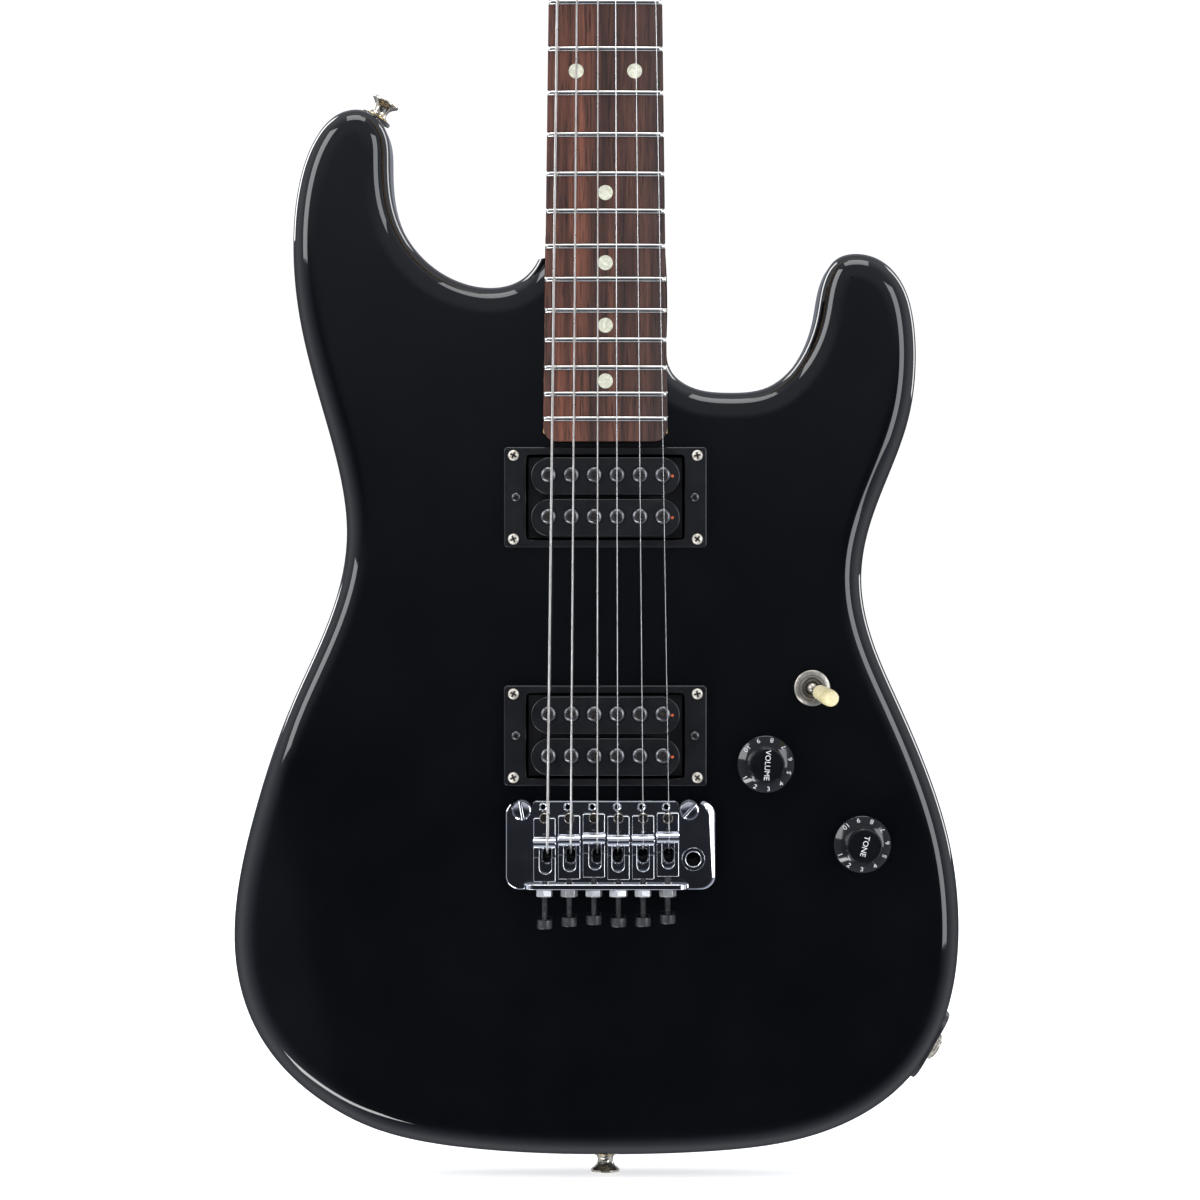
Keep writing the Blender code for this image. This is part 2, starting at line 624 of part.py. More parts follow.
def make_knob(name, at):
    """Skirted knob with its pot's shaft, turning on the shaft's axis."""
    base = 1.0
    profile = [
        (2.9, -11), (2.9, base + 4), (7.5, base + 4), (7.5, base), (KNOB_SKIRT_RADIUS, base),
        (KNOB_SKIRT_RADIUS, base + 1.4), (9.6, base + 4.2), (KNOB_TOP_RADIUS + 0.3, base + 5.2),
        (KNOB_TOP_RADIUS, KNOB_HEIGHT - 0.6), (KNOB_TOP_RADIUS - 0.6, KNOB_HEIGHT),
    ]  # fmt: skip
    origin = (at[0], TOP, at[1])
    knob = placed(turned(profile, 28), origin, (0, -1, 0))
    node(f"{name}_knob", knob, "black_plastic", origin)
    can = [(3.4, -14.5), (12, -14.5), (12, -7.3), (4.5, -7.3), (4.5, 0.3), (6.6, 0.3), (6.6, 2.4),
           (3.4, 2.4)]  # fmt: skip
    node(f"{name}_pot", placed(turned(can, 16, ring=True), origin, (0, -1, 0)), "nickel")


def lever_direction():
    lean = Vector((math.cos(SWITCH_LEAN), 0, math.sin(SWITCH_LEAN)))
    return lean * math.sin(SWITCH_TILT) + Vector((0, -math.cos(SWITCH_TILT), 0))


def make_switch():
    x, z = SWITCH_AT
    outside = [(4.6, -7.6), (4.6, 0.3), (7.85, 0.3), (7.85, 1.2), (5.3, 1.6), (5.3, 3.4)]
    bushing = placed(turned(outside, 20), (x, TOP, z), (0, -1, 0))
    can = box(x - 7, x + 7, CONTROL_CEILING + GAP, CONTROL_CEILING + 20, z - 12, z + 12)
    well = placed(turned([(3.4, -3), (3.4, 9)], 16), (x, TOP, z), (0, -1, 0))
    node("switch_body", cut(union(bushing, can), well), "nickel")
    pivot = (x, TOP - 1.8, z)
    profile = [(1.4, -2.6), (2.4, -1.6), (2.5, 0), (2.2, 1.2), (1.5, 2.2), (1.5, 7.0), (2.5, 7.4),
               (3.2, 11), (3.5, 18.5), (2.9, 21.2), (1.5, 22.2)]  # fmt: skip
    lever = placed(turned(profile, 14), pivot, lever_direction())
    node("switch_lever", lever, "bone", pivot)


def make_jack():
    across = Vector((0, 1, 0))
    out = jack_direction()
    up = across.cross(out)
    rings = []
    for height in (GAP, 2.3):
        ring = []
        for a, b in rounded_rectangle(-16.4, 16.4, -11, 11, 8, 4):
            ring.append(jack_point(height) + up * a + across * b)
        rings.append(ring)
    hole = rod(jack_point(-5), jack_point(8), 5.1, 20)
    node("jack_plate", cut(loft(rings), hole), "black_metal")
    section = [(3.6, -1.9), (8.6, -1.9), (8.6, -0.1), (4.75, -0.1), (4.75, 2.6), (6.2, 2.6),
               (6.2, 4.8), (3.6, 4.8)]  # fmt: skip
    bushing = placed(turned(section, 20, ring=True), jack_point(0), out)
    # the bent contact that holds the plug's tip, as (out, across) points of its edge
    contact = [(-1.2, 6.4), (-1.2, 7.4), (-27.6, 7.4), (-24.4, 4.2), (-23.7, 4.9), (-25.2, 6.4)]
    edges = [[jack_point(a) + up * side + across * b for a, b in contact] for side in (-2.5, 2.5)]
    node("output_jack", union(bushing, loft(edges)), "nickel")


def make_strap_buttons():
    profile = [(5.4, 0), (5.4, 0.9), (3.6, 1.4), (3.3, 3.8), (4.4, 6.2), (6.3, 7.9), (6.3, 9.0)]
    end = placed(turned(profile, 20), (0, 0, END_BUTTON_BASE_Z), (0, 0, -1))
    node("strap_button_end", end, "nickel")
    out = (math.cos(HORN_BUTTON_LEAN), 0, math.sin(HORN_BUTTON_LEAN))
    at = (HORN_BUTTON_BASE[0], 0, HORN_BUTTON_BASE[1])
    node("strap_button_horn", placed(turned(profile, 20), at, out), "nickel")


def make_control_cover():
    outline = offset_outline(closed_spline(CONTROL_CAVITY, 4), 6.0)
    node("control_cover", prism(outline, BACK - 1.9, BACK - 0.1), "black_plastic")


# ---------------------------------------------------------------- tuners


def make_tuners():
    along, out = post_line()
    front = HEAD_BACK + GAP
    middle = (Vector((*post_at(0), 0)) + Vector((*post_at(5), 0))) / 2
    centre = Vector((middle.x, 0, middle.y))

    def across_box(at, half_along, out0, out1, y0, y1):
        rings = []
        for y in (y0, y1):
            corners = ((-half_along, out0), (half_along, out0), (half_along, out1),
                       (-half_along, out1))  # fmt: skip
            rings.append([at + along * a + out * b + Vector((0, y, 0)) for a, b in corners])
        return loft(rings)

    strip = across_box(centre, 3 * POST_PITCH + 1, -8, 9, front, front + 1.2)
    cases = []
    for i in range(6):
        x, z = post_at(i)
        at = Vector((x, 0, z))
        cases.append(across_box(at, 9.5, -7, 8, front + 1, front + 10))
        shaft_y = front + 5.5
        button_origin = at + Vector((0, shaft_y, 0)) + out * (8 + GAP)
        profile = [(2.2, 0), (2.2, 9.5), (4.6, 10.6), (6.6, 14), (7.0, 18.5), (6.0, 23), (3.4, 26)]
        button = turned(profile, 12)
        for vert in button.verts:
            if vert.co.z > 10:
                vert.co.y *= 0.55
        button = placed(button, button_origin, out)
        node(f"tuner_button_{i + 1}", button, "chrome", button_origin)
        level = POST_STRING_Y[i]
        post = [(POST_RADIUS, HEAD_BACK - 0.1), (POST_RADIUS, level + 1.6), (2.7, level + 0.9),
                (2.7, level - 0.9), (POST_RADIUS, level - 1.6), (POST_RADIUS, level - 5.4),
                (2.4, level - 6)]  # fmt: skip
        profile = [(radius, -height) for radius, height in post]
        post = placed(turned(profile, 12), (x, 0, z), (0, -1, 0))
        node(f"tuner_post_{i + 1}", post, "chrome", (x, HEAD_FRONT, z))
    node("tuner_housings", union(strip, *cases), "chrome")


def main():
    for thing in list(bpy.data.objects):
        bpy.data.objects.remove(thing)
    make_body()
    make_neck()
    make_fretboard()
    make_neck_fittings()
    for name in PICKUP_Z:
        make_pickup(name)
    make_bridge_plate()
    make_vibrato_underside()
    make_pivot_studs()
    for i in range(6):
        make_saddle(i)
        make_string(i)
    make_knob("volume", VOLUME_AT)
    make_knob("tone", TONE_AT)
    make_switch()
    make_jack()
    make_strap_buttons()
    make_control_cover()
    make_tuners()


main()
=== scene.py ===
"""Electric guitar, the visible model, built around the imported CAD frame.

Lengths are in millimetres in the row frame unless a comment says metres: +X to the treble side, +Z up
the neck, the front faces -Y. MM turns them into metres where a mesh is made. Names and places repeat
those of the CAD part.
"""

import math

import bmesh
import bpy
import numpy as np
from mathutils import Matrix, Vector
from mathutils.geometry import delaunay_2d_cdt


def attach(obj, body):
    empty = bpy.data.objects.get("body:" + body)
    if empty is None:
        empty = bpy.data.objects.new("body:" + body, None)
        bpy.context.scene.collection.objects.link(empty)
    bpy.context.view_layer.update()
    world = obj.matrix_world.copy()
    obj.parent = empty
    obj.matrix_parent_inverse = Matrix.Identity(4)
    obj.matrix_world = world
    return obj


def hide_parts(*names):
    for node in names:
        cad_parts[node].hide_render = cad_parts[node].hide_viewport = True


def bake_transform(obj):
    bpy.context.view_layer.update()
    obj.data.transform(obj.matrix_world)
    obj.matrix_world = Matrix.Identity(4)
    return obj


MM = 0.001
FRONT = (0, -1, 0)
BEHIND = (0, 1, 0)
AHEAD, BEYOND = -40.0, 40.0  # y clear of the body in front and behind, where cutters end

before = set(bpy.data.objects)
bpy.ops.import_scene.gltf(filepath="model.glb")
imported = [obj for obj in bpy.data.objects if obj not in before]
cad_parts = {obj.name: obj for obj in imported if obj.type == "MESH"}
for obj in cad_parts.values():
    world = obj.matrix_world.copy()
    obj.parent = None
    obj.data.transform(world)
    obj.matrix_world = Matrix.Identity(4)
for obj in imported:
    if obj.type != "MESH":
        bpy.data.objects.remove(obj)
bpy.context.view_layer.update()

# ---------------------------------------------------------------- dimensions shared with the CAD part

SCALE_LENGTH = 647.7
FRETS = 22
NUT_Z = 798.5
TOP, BACK = -22.25, 22.25
ROUNDOVER = 11.0
FRETBOARD_END_Z = 322.9
FRETBOARD_TOP = TOP - 9.5
FRETBOARD_BOTTOM = FRETBOARD_TOP + 6.5
FRETBOARD_HALF_END, FRETBOARD_HALF_NUT = 27.2, 21.3
FRETBOARD_RADIUS = 305.0
FRET_HEIGHT = 1.1
NECK_FRONT = FRETBOARD_BOTTOM + 0.1
HEEL_END_Z, POCKET_END_Z = 326.6, 404.0
POCKET_FLOOR = TOP + 16.0
HEAD_FRONT, HEAD_BACK = -23.0, -9.0
HEAD_START_Z, HEAD_END_Z = 792, 981
TUNER_SHAFT_Y = HEAD_BACK + 5.8

STRING_RADII = (0.58, 0.45, 0.33, 0.22, 0.17, 0.13)
SADDLE_STRING_X = (-25.3, -15.1, -3.5, 5.35, 16.4, 27.7)
NUT_STRING_X = (-17.6, -10.4, -3.1, 3.8, 10.6, 17.4)
CREST_Z = (147.8, 148.9, 149.7, 148.7, 148.9, 150.1)
CREST_Y = -35.6
ROLLER_RADIUS = 2.3
SADDLE_TRAVEL = 4.0
NUT_CREST_Y = -33.2
POST_STRING_Y = (-31.4, -30.7, -30.0, -29.3, -28.6, -27.9)

PICKUP_Z = {"neck": 298.6, "bridge": 194.3}
RING_HALF = (44.4, 22.0)
RING_OPENING_HALF = (34.7, 18.7)
RING_TOP = TOP - 3.7
BOBBIN_HALF = (32.5, 8.2)
BOBBIN_OFFSET = 9.1
BOBBIN_TOP = TOP - 8.6
BOBBIN_BOTTOM = BOBBIN_TOP + 11.5

STUD_X, STUD_Z = 36.6, 161.8
STUD_HEAD_RADIUS = 4.2
PLATE_BOTTOM = TOP - 2.9
PLATE_TOP = PLATE_BOTTOM - 2.6
PLATE_X = (-43.4, 48.0)
PLATE_Z = (127.3, 165.9)
LIP_X = (-35.66, 36.34)
LIP_Z = (127.6, 129.9)
LIP_TOP = PLATE_TOP - 7.2
STRING_HOLE_Z = 143.2
EYELET_Z = 163.3
WELL_Z = (138.9, 145.2)
WELL_HALF_WIDTH = 2.1
ARM_HOLE = (38.4, 140.5)
SADDLE_HALF_WIDTH = 5.1
SADDLE_MIDDLE_X, SADDLE_PITCH = 0.34, 10.74
SCREW_Y = -30.9
NUT_WIDTHS = (6.6, 6.6, 6.6, 7.5, 6.8, 6.5)
NUT_SPINS = (0.36, 0.14, 0.30, 0.38, 0.33, 0.02)
BLOCK_X = (-35.0, 31.8)
BLOCK_Z = (133.0, 147.0)
BLOCK_BOTTOM = 17.0
SPRING_X = (-20.0, 0.0, 20.0)
SPRING_Y = 13.5
SPRING_COIL_RADIUS, SPRING_WIRE_RADIUS = 3.05, 0.5
CLAW_Z = (236.0, 238.5)

VOLUME_AT = (70.2, 181.8)
TONE_AT = (112.5, 146.7)
SWITCH_AT = (90.6, 215.1)
SWITCH_TILT = math.radians(25)
SWITCH_LEAN = math.radians(-31)
JACK_AT = (143.9, 56.7)
JACK_ANGLE = math.radians(-29.9)
JACK_SEAT = 1.2
POT_HOLE_RADIUS = 4.9
END_BUTTON_BASE_Z = 9.0
HORN_BUTTON_BASE = (-102.0, 468.1)
HORN_BUTTON_LEAN = math.radians(59.4)
POST_PITCH = 25.5
WRAP_TURNS = (2.0, 2.2, 2.6, 3.0, 3.4, 3.8)
FIRST_POST_Z = 829.0
POST_RADIUS = 3.2
INLAID_FRETS = (3, 5, 7, 9, 12, 15, 17, 19, 21)

# the forearm contour is a plane that meets the front face here, with its slopes across and along
FOREARM_X, FOREARM_Z = -128, 118
FOREARM_SLOPES = (0.235, 0.05)
FOREARM_EASE = 3.0
# the belly contour is a bowl in the back face, deepest here
BELLY_X, BELLY_Z, BELLY_DEPTH = -120, 290, 13
BELLY_EASE = 3.5

BODY_OUTLINE = [
    (0, 9.3), (-64, 12.5), (-99.5, 19.8), (-127, 33.4), (-147, 51.4), (-158.5, 71), (-164.2, 95),
    (-163.5, 121.7), (-155.9, 157), (-137.5, 209.9), (-122, 245.2), (-114.2, 280), (-116.8, 307),
    (-126.1, 342), (-134.9, 377.6), (-137.8, 412.9), (-134.8, 439.4), (-127.7, 458.1),
    (-117, 468.8), (-105.5, 469.6), (-97.2, 461.8), (-94.9, 445), (-91.4, 421.8), (-80, 404.2),
    (-62, 393.4), (-48, 391.7), (-38.5, 394.4), (-32.4, 399.6), (-28.8, 406), (-25, 418),
    (-15, 426), (15, 426), (24, 418), (26.8, 405), (27.2, 370), (29.4, 354.4), (37.5, 348),
    (54, 345.3), (71.8, 347.8), (85.5, 360.5), (93, 380), (96.4, 396), (102.5, 404.6),
    (111, 406.6), (121, 404), (130.6, 394.4), (136, 377.6), (137.1, 360), (133.8, 333.5),
    (124.3, 307), (115.5, 282), (113, 262.9), (117.8, 236.4), (129, 209.6), (143.6, 174.6),
    (151.6, 148), (155.5, 121), (154.9, 92), (147.8, 64.5), (131, 40), (112.4, 26.3), (86, 16.1),
    (50, 10.9),
]
CONTROL_CAVITY = [
    (56, 170), (62, 228), (84, 238), (103, 229), (112, 190), (129, 160), (131, 130),
    (114, 114), (88, 120), (64, 146),
]
# the headstock's bass and treble edges, as (z, x)
HEAD_BASS = [(HEAD_START_Z, -21.3), (808, -24), (819, -31), (828, -35.5), (839, -34), (862, -27.5),
             (905, -15.5), (948, -3.5), (968, 2.5), (HEAD_END_Z, 10.5)]
HEAD_TREBLE = [(HEAD_START_Z, 21.3), (806, 22.5), (822, 27), (850, 31.5), (890, 34), (925, 34.5),
               (955, 34), (975, 30), (HEAD_END_Z, 25)]


def fret_z(number):
    return NUT_Z - SCALE_LENGTH * (1 - 2 ** (-number / 12))


def between_frets(number):
    """z midway between a fret and the one before it."""
    return (fret_z(number) + fret_z(number - 1)) / 2


def fretboard_half(z):
    along = (z - FRETBOARD_END_Z) / (NUT_Z - FRETBOARD_END_Z)
    return FRETBOARD_HALF_END + along * (FRETBOARD_HALF_NUT - FRETBOARD_HALF_END)


def crown_y(x):
    """How far the fingerboard's round top falls below its middle."""
    return FRETBOARD_RADIUS - math.sqrt(FRETBOARD_RADIUS**2 - x * x)


def saddle_x(i):
    return SADDLE_MIDDLE_X + (i - 2.5) * SADDLE_PITCH


def post_at(i):
    return NUT_STRING_X[i] - POST_RADIUS - 0.9, FIRST_POST_Z + i * POST_PITCH


def post_line():
    """Unit vectors along the row of tuners and out to their buttons."""
    (x0, z0), (x1, z1) = post_at(0), post_at(5)
    along = Vector((x1 - x0, 0, z1 - z0)).normalized()
    return along, Vector((-along.z, 0, along.x))


def jack_direction():
    return Vector((math.cos(JACK_ANGLE), 0, math.sin(JACK_ANGLE)))


def jack_point(outwards):
    return Vector((JACK_AT[0], 0, JACK_AT[1])) + jack_direction() * (outwards - JACK_SEAT)


# ---------------------------------------------------------------- mesh helpers


def closed_spline(knots, steps):
    """Points of the smooth closed cubic curve through the knots, steps of them for each knot."""
    knots = np.array(knots, float)
    count = len(knots)
    ahead = np.roll(knots, -1, 0)
    spans = np.linalg.norm(ahead - knots, axis=1)
    rates = (ahead - knots) / spans[:, None]
    matrix = np.zeros((count, count))
    for i, span in enumerate(spans):
        matrix[i, i - 1] += spans[i - 1]
        matrix[i, i] += 2 * (spans[i - 1] + span)
        matrix[i, (i + 1) % count] += span
    bends = np.linalg.solve(matrix, 6 * (rates - np.roll(rates, 1, 0)))
    points = []
    for i, span in enumerate(spans):
        j = (i + 1) % count
        for b in np.arange(steps) / steps:
            a = 1 - b
            curve = (a**3 - a) * bends[i] + (b**3 - b) * bends[j]
            points.append(a * knots[i] + b * knots[j] + span**2 / 6 * curve)
    return np.array(points)


def smooth_curve(points, steps):
    """Points of a Catmull-Rom curve through the given ones, in any number of dimensions."""
    p = [np.array(q, float) for q in points]
    p = [2 * p[0] - p[1]] + p + [2 * p[-1] - p[-2]]
    out = []
    for i in range(1, len(p) - 2):
        for t in np.arange(steps) / steps:
            a, b, c, d = p[i - 1 : i + 3]
            out.append(0.5 * (2 * b + (c - a) * t + (2 * a - 5 * b + 4 * c - d) * t**2
                              + (3 * b - a - 3 * c + d) * t**3))
    return out + [p[-2]]


def inward_normals(points):
    along = np.roll(points, -1, 0) - np.roll(points, 1, 0)
    along /= np.linalg.norm(along, axis=1)[:, None]
    x, z = points.T
    area = (x * np.roll(z, -1) - np.roll(x, -1) * z).sum()
    return np.stack([-along[:, 1], along[:, 0]], 1) * np.sign(area)


def offset_outline(outline, distance):
    return outline - inward_normals(outline) * distance


def rounded_rectangle(x0, x1, z0, z1, radius, steps=6):
    corners = ((x1 - radius, z0 + radius, -90), (x1 - radius, z1 - radius, 0),
               (x0 + radius, z1 - radius, 90), (x0 + radius, z0 + radius, 180))
    points = []
    for cx, cz, start in corners:
        for k in range(steps + 1):
            a = math.radians(start + 90 * k / steps)
            points.append((cx + radius * math.cos(a), cz + radius * math.sin(a)))
    return points


def join_rings(bm, rows):
    """Faces between each ring of vertices and the next."""
    for low, high in zip(rows, rows[1:]):
        for k in range(len(low)):
            j = (k + 1) % len(low)
            bm.faces.new((low[k], low[j], high[j], high[k]))


def loft(rings, closed=False):
    """A surface through rings of equal length, capped, or closed from the last ring to the first."""
    bm = bmesh.new()
    rows = [[bm.verts.new(p) for p in ring] for ring in rings]
    join_rings(bm, rows + rows[:1] if closed else rows)
    if not closed:
        bm.faces.new(rows[0])
        bm.faces.new(rows[-1])
    bmesh.ops.recalc_face_normals(bm, faces=bm.faces)
    return bm


def prism(outline, y0, y1):
    return loft([[(x, y, z) for x, z in outline] for y in (y0, y1)])


def box(x0, x1, y0, y1, z0, z1):
    return prism([(x0, z0), (x1, z0), (x1, z1), (x0, z1)], y0, y1)


def soft_prism(outline, y_face, y_back, edge, steps=3):
    """A plate in the XZ plane whose front edge is rounded by edge."""
    outline = np.array(outline, float)
    side = 1 if y_back > y_face else -1
    rings = [[(x, y_back, z) for x, z in outline]]
    for k in range(steps + 1):
        a = math.pi / 2 * k / steps
        ring = offset_outline(outline, -edge * (1 - math.cos(a)))
        y = y_face + side * edge * (1 - math.sin(a))
        rings.append([(x, y, z) for x, z in ring])
    return loft(rings)


def circle(sides):
    """Cosine and sine of evenly spaced angles."""
    return [(math.cos(a), math.sin(a)) for a in (2 * math.pi * k / sides for k in range(sides))]


def turned(profile, sides=32, ring=False):
    """A profile of (radius, height) turned about +Z. A ring profile is a closed section."""
    rings = [[(radius * c, radius * s, height) for c, s in circle(sides)] for radius, height in profile]
    return loft(rings, ring)


def pinched(bm, chosen):
    """Draws the chosen vertices of a turned mesh inwards, which makes ribs or knurling."""
    for index, vert in enumerate(bm.verts):
        if chosen(index, vert.co):
            vert.co.x *= 0.955
            vert.co.y *= 0.955
    return bm


def pose(at, direction=(0, 0, 1), spin=0.0):
    """The matrix that moves a mesh built about +Z to a point, with +Z turned to a direction."""
    turn = Vector(direction).normalized().to_track_quat("Z", "Y").to_matrix().to_4x4()
    return Matrix.Translation(at) @ turn @ Matrix.Rotation(spin, 4, "Z")


def placed(bm, at, direction=(0, 0, 1), spin=0.0):
    bm.transform(pose(at, direction, spin))
    return bm


def ring_at(at, direction, profile, sides=48):
    """A turned closed section, such as a washer or a bushing, set on a point."""
    return placed(turned(profile, sides, ring=True), at, direction)


def rod(start, end, radius, sides=20):
    along = Vector(end) - Vector(start)
    return placed(turned([(radius, 0), (radius, along.length)], sides), start, along)


def drill(x, z, radius, end=0.0, sides=24, start=AHEAD):
    """A cutter that bores straight back from y = start to y = end."""
    return rod((x, start, z), (x, end, z), radius, sides)


def sweep(points, radius, sides=10):
    """A round wire along a path."""
    points = [Vector(p) for p in points]
    tangents = []
    for i in range(len(points)):
        tangents.append((points[min(i + 1, len(points) - 1)] - points[max(i - 1, 0)]).normalized())
    side = tangents[0].orthogonal().normalized()
    rings = []
    for point, along in zip(points, tangents):
        side = (side - along * side.dot(along)).normalized()
        up = along.cross(side)
        rings.append([point + radius * (side * c + up * s) for c, s in circle(sides)])
    return loft(rings)


def helix(at, axis, radius, wire, length, turns, sides=6, steps=14):
    """A coil of wire that starts at a point and runs along an axis."""
    axis = Vector(axis).normalized()
    side = axis.orthogonal().normalized()
    up = axis.cross(side)
    points = []
    for k in range(int(turns * steps) + 1):
        a = 2 * math.pi * k / steps
        ring = side * math.cos(a) + up * math.sin(a)
        points.append(Vector(at) + axis * (length * k / (turns * steps)) + radius * ring)
    return sweep(points, wire, sides)


def gathered(*parts):
    """Several meshes as one, without a Boolean."""
    out = bmesh.new()
    for part in parts:
        mesh = bpy.data.meshes.new("part")
        part.to_mesh(mesh)
        part.free()
        out.from_mesh(mesh)
        bpy.data.meshes.remove(mesh)
    return out


def copied(bm, matrix):
    """A moved copy of a mesh, which stays as it is."""
    out = bm.copy()
    out.transform(matrix)
    return out


def mesh_object(name, bm):
    mesh = bpy.data.meshes.new(name)
    bm.to_mesh(mesh)
    bm.free()
    thing = bpy.data.objects.new(name, mesh)
    bpy.context.scene.collection.objects.link(thing)
    return thing


def cut(bm, *cutters):
    """The mesh less all the cutters, which may overlap each other."""
    base = mesh_object("base", bm)
    tool = mesh_object("tool", gathered(*cutters))
    modifier = base.modifiers.new("cut", "BOOLEAN")
    modifier.operation = "DIFFERENCE"
    modifier.object = tool
    modifier.solver = "EXACT"
    modifier.use_self = True
    bpy.context.view_layer.update()
    result = bmesh.new()
    result.from_object(base, bpy.context.evaluated_depsgraph_get())
    for thing in (base, tool):
        bpy.data.objects.remove(thing)
    return result


def piece(name, bm, material, body="guitar", replaces=(), bevel=0.0, sharp=35, ride=True):
    """A finished piece: mesh in metres, shading, small rounded edges, body, material, replaced nodes."""
    bm.transform(Matrix.Scale(MM, 4))
    bmesh.ops.recalc_face_normals(bm, faces=bm.faces)
    thing = mesh_object(name, bm)
    thing.data.materials.append(material)
    thing.data.shade_smooth()
    thing.data.set_sharp_from_angle(angle=math.radians(sharp))
    if bevel:
        modifier = thing.modifiers.new("edge", "BEVEL")
        modifier.width = bevel * MM
        modifier.segments = 2
        modifier.limit_method = "ANGLE"
        modifier.angle_limit = math.radians(sharp)
        modifier.harden_normals = True
        modifier.miter_outer = "MITER_ARC"
    if sharp < 60:
        # flat faces stay flat up to their rounded edges
        modifier = thing.modifiers.new("even", "WEIGHTED_NORMAL")
        modifier.weight = 100
        modifier.keep_sharp = True
    if ride:
        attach(thing, body)
    if replaces:
        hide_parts(*replaces)
    return thing


# ---------------------------------------------------------------- materials


class Nodes:
    """A material's node tree, with short calls for the nodes that the finishes share."""

    def __init__(self, name):
        self.material = bpy.data.materials.new(name)
        self.material.use_nodes = True
        self.tree = self.material.node_tree
        self.shader = self.tree.nodes["Principled BSDF"]
        self.place = self.add("TexCoord").outputs["Object"]

    def add(self, kind, **inputs):
        """A new node; each input is a value, or a socket to link from."""
        node = self.tree.nodes.new("ShaderNode" + kind)
        for name, value in inputs.items():
            self.feed(node, name.replace("_", " "), value)
        return node

    def feed(self, node, socket, value):
        if isinstance(value, bpy.types.NodeSocket):
            self.tree.links.new(value, node.inputs[socket])
        elif isinstance(value, tuple) and node.inputs[socket].type == "RGBA":
            node.inputs[socket].default_value = (*value, 1)
        else:
            node.inputs[socket].default_value = value

    def noise(self, scale, detail=3.0, stretch=None, distortion=0.0):
        place = self.place
        if stretch:
            place = self.add("Mapping", Scale=stretch, Vector=place).outputs["Vector"]
        node = self.add("TexNoise", Scale=scale, Detail=detail, Distortion=distortion, Roughness=0.55,
                        Vector=place)
        return node.outputs["Fac"]

    def ridges(self, scale):
        """Even bands square to Z."""
        node = self.add("TexWave", Scale=scale, Vector=self.place)
        node.bands_direction = "Z"
        return node.outputs["Fac"]

    def ramp(self, source, low, high, start=0.3, end=0.7):
        """A colour or grey that runs from low to high as the source goes from start to end."""
        node = self.add("ValToRGB", Fac=source)
        stops = node.color_ramp.elements
        for stop, at, value in ((stops[0], start, low), (stops[1], end, high)):
            stop.position = at
            stop.color = (value, value, value, 1) if isinstance(value, float) else (*value, 1)
        return node.outputs["Color"]

    def mix(self, factor, a, b, kind="MIX"):
        node = self.add("Mix")
        node.data_type = "RGBA"
        node.blend_type = kind
        for socket, value in ((0, factor), (6, a), (7, b)):
            self.feed(node, socket, value)
        return node.outputs[2]

    def bump(self, height, distance, strength=1.0, after=None):
        node = self.add("Bump", Distance=distance * MM, Strength=strength, Height=height)
        if after:
            self.feed(node, "Normal", after)
        return node.outputs["Normal"]

    def finish(self, colour, rough, normal=None, metallic=0.0):
        self.feed(self.shader, "Base Color", colour)
        self.feed(self.shader, "Roughness", rough)
        if normal:
            self.feed(self.shader, "Normal", normal)
        self.shader.inputs["Metallic"].default_value = metallic
        return self.material


def metal(name, light, dark, smooth, dull, spots=60.0, scratch=0.004, brushed=None, metallic=1.0):
    """Plated or bare metal with smudges, fine scratches and dull spots."""
    n = Nodes(name)
    smudge = n.noise(spots, 5, distortion=0.6)
    colour = n.ramp(smudge, dark, light, 0.28, 0.62)
    rough = n.ramp(n.noise(spots * 2.3, 4), smooth, dull, 0.35, 0.75)
    lines = n.noise(900, 2, stretch=brushed or (6, 1, 0.15))
    return n.finish(colour, rough, n.bump(lines, scratch), metallic)


def plastic(name, base, tint, smooth, dull, grain=1600.0, depth=0.004):
    """Moulded plastic with faint mottling, a fine grain and handling marks."""
    n = Nodes(name)
    colour = n.ramp(n.noise(90, 4), base, tint, 0.3, 0.75)
    rough = n.ramp(n.noise(160, 5, distortion=0.4), smooth, dull, 0.3, 0.7)
    return n.finish(colour, rough, n.bump(n.noise(grain, 2), depth))


def lacquer():
    """Deep black gloss: a trace of blue, polishing haze and very slight waviness."""
    n = Nodes("black_lacquer")
    colour = n.ramp(n.noise(30, 4), (0.0014, 0.0016, 0.0022), (0.0022, 0.0025, 0.0033), 0.3, 0.7)
    haze = n.ramp(n.noise(45, 6, distortion=0.8), 0.035, 0.075, 0.35, 0.75)
    waves = n.bump(n.noise(55, 1), 0.004)
    marks = n.bump(n.noise(700, 2, stretch=(0.25, 1, 3)), 0.0004, after=waves)
    return n.finish(colour, haze, marks)


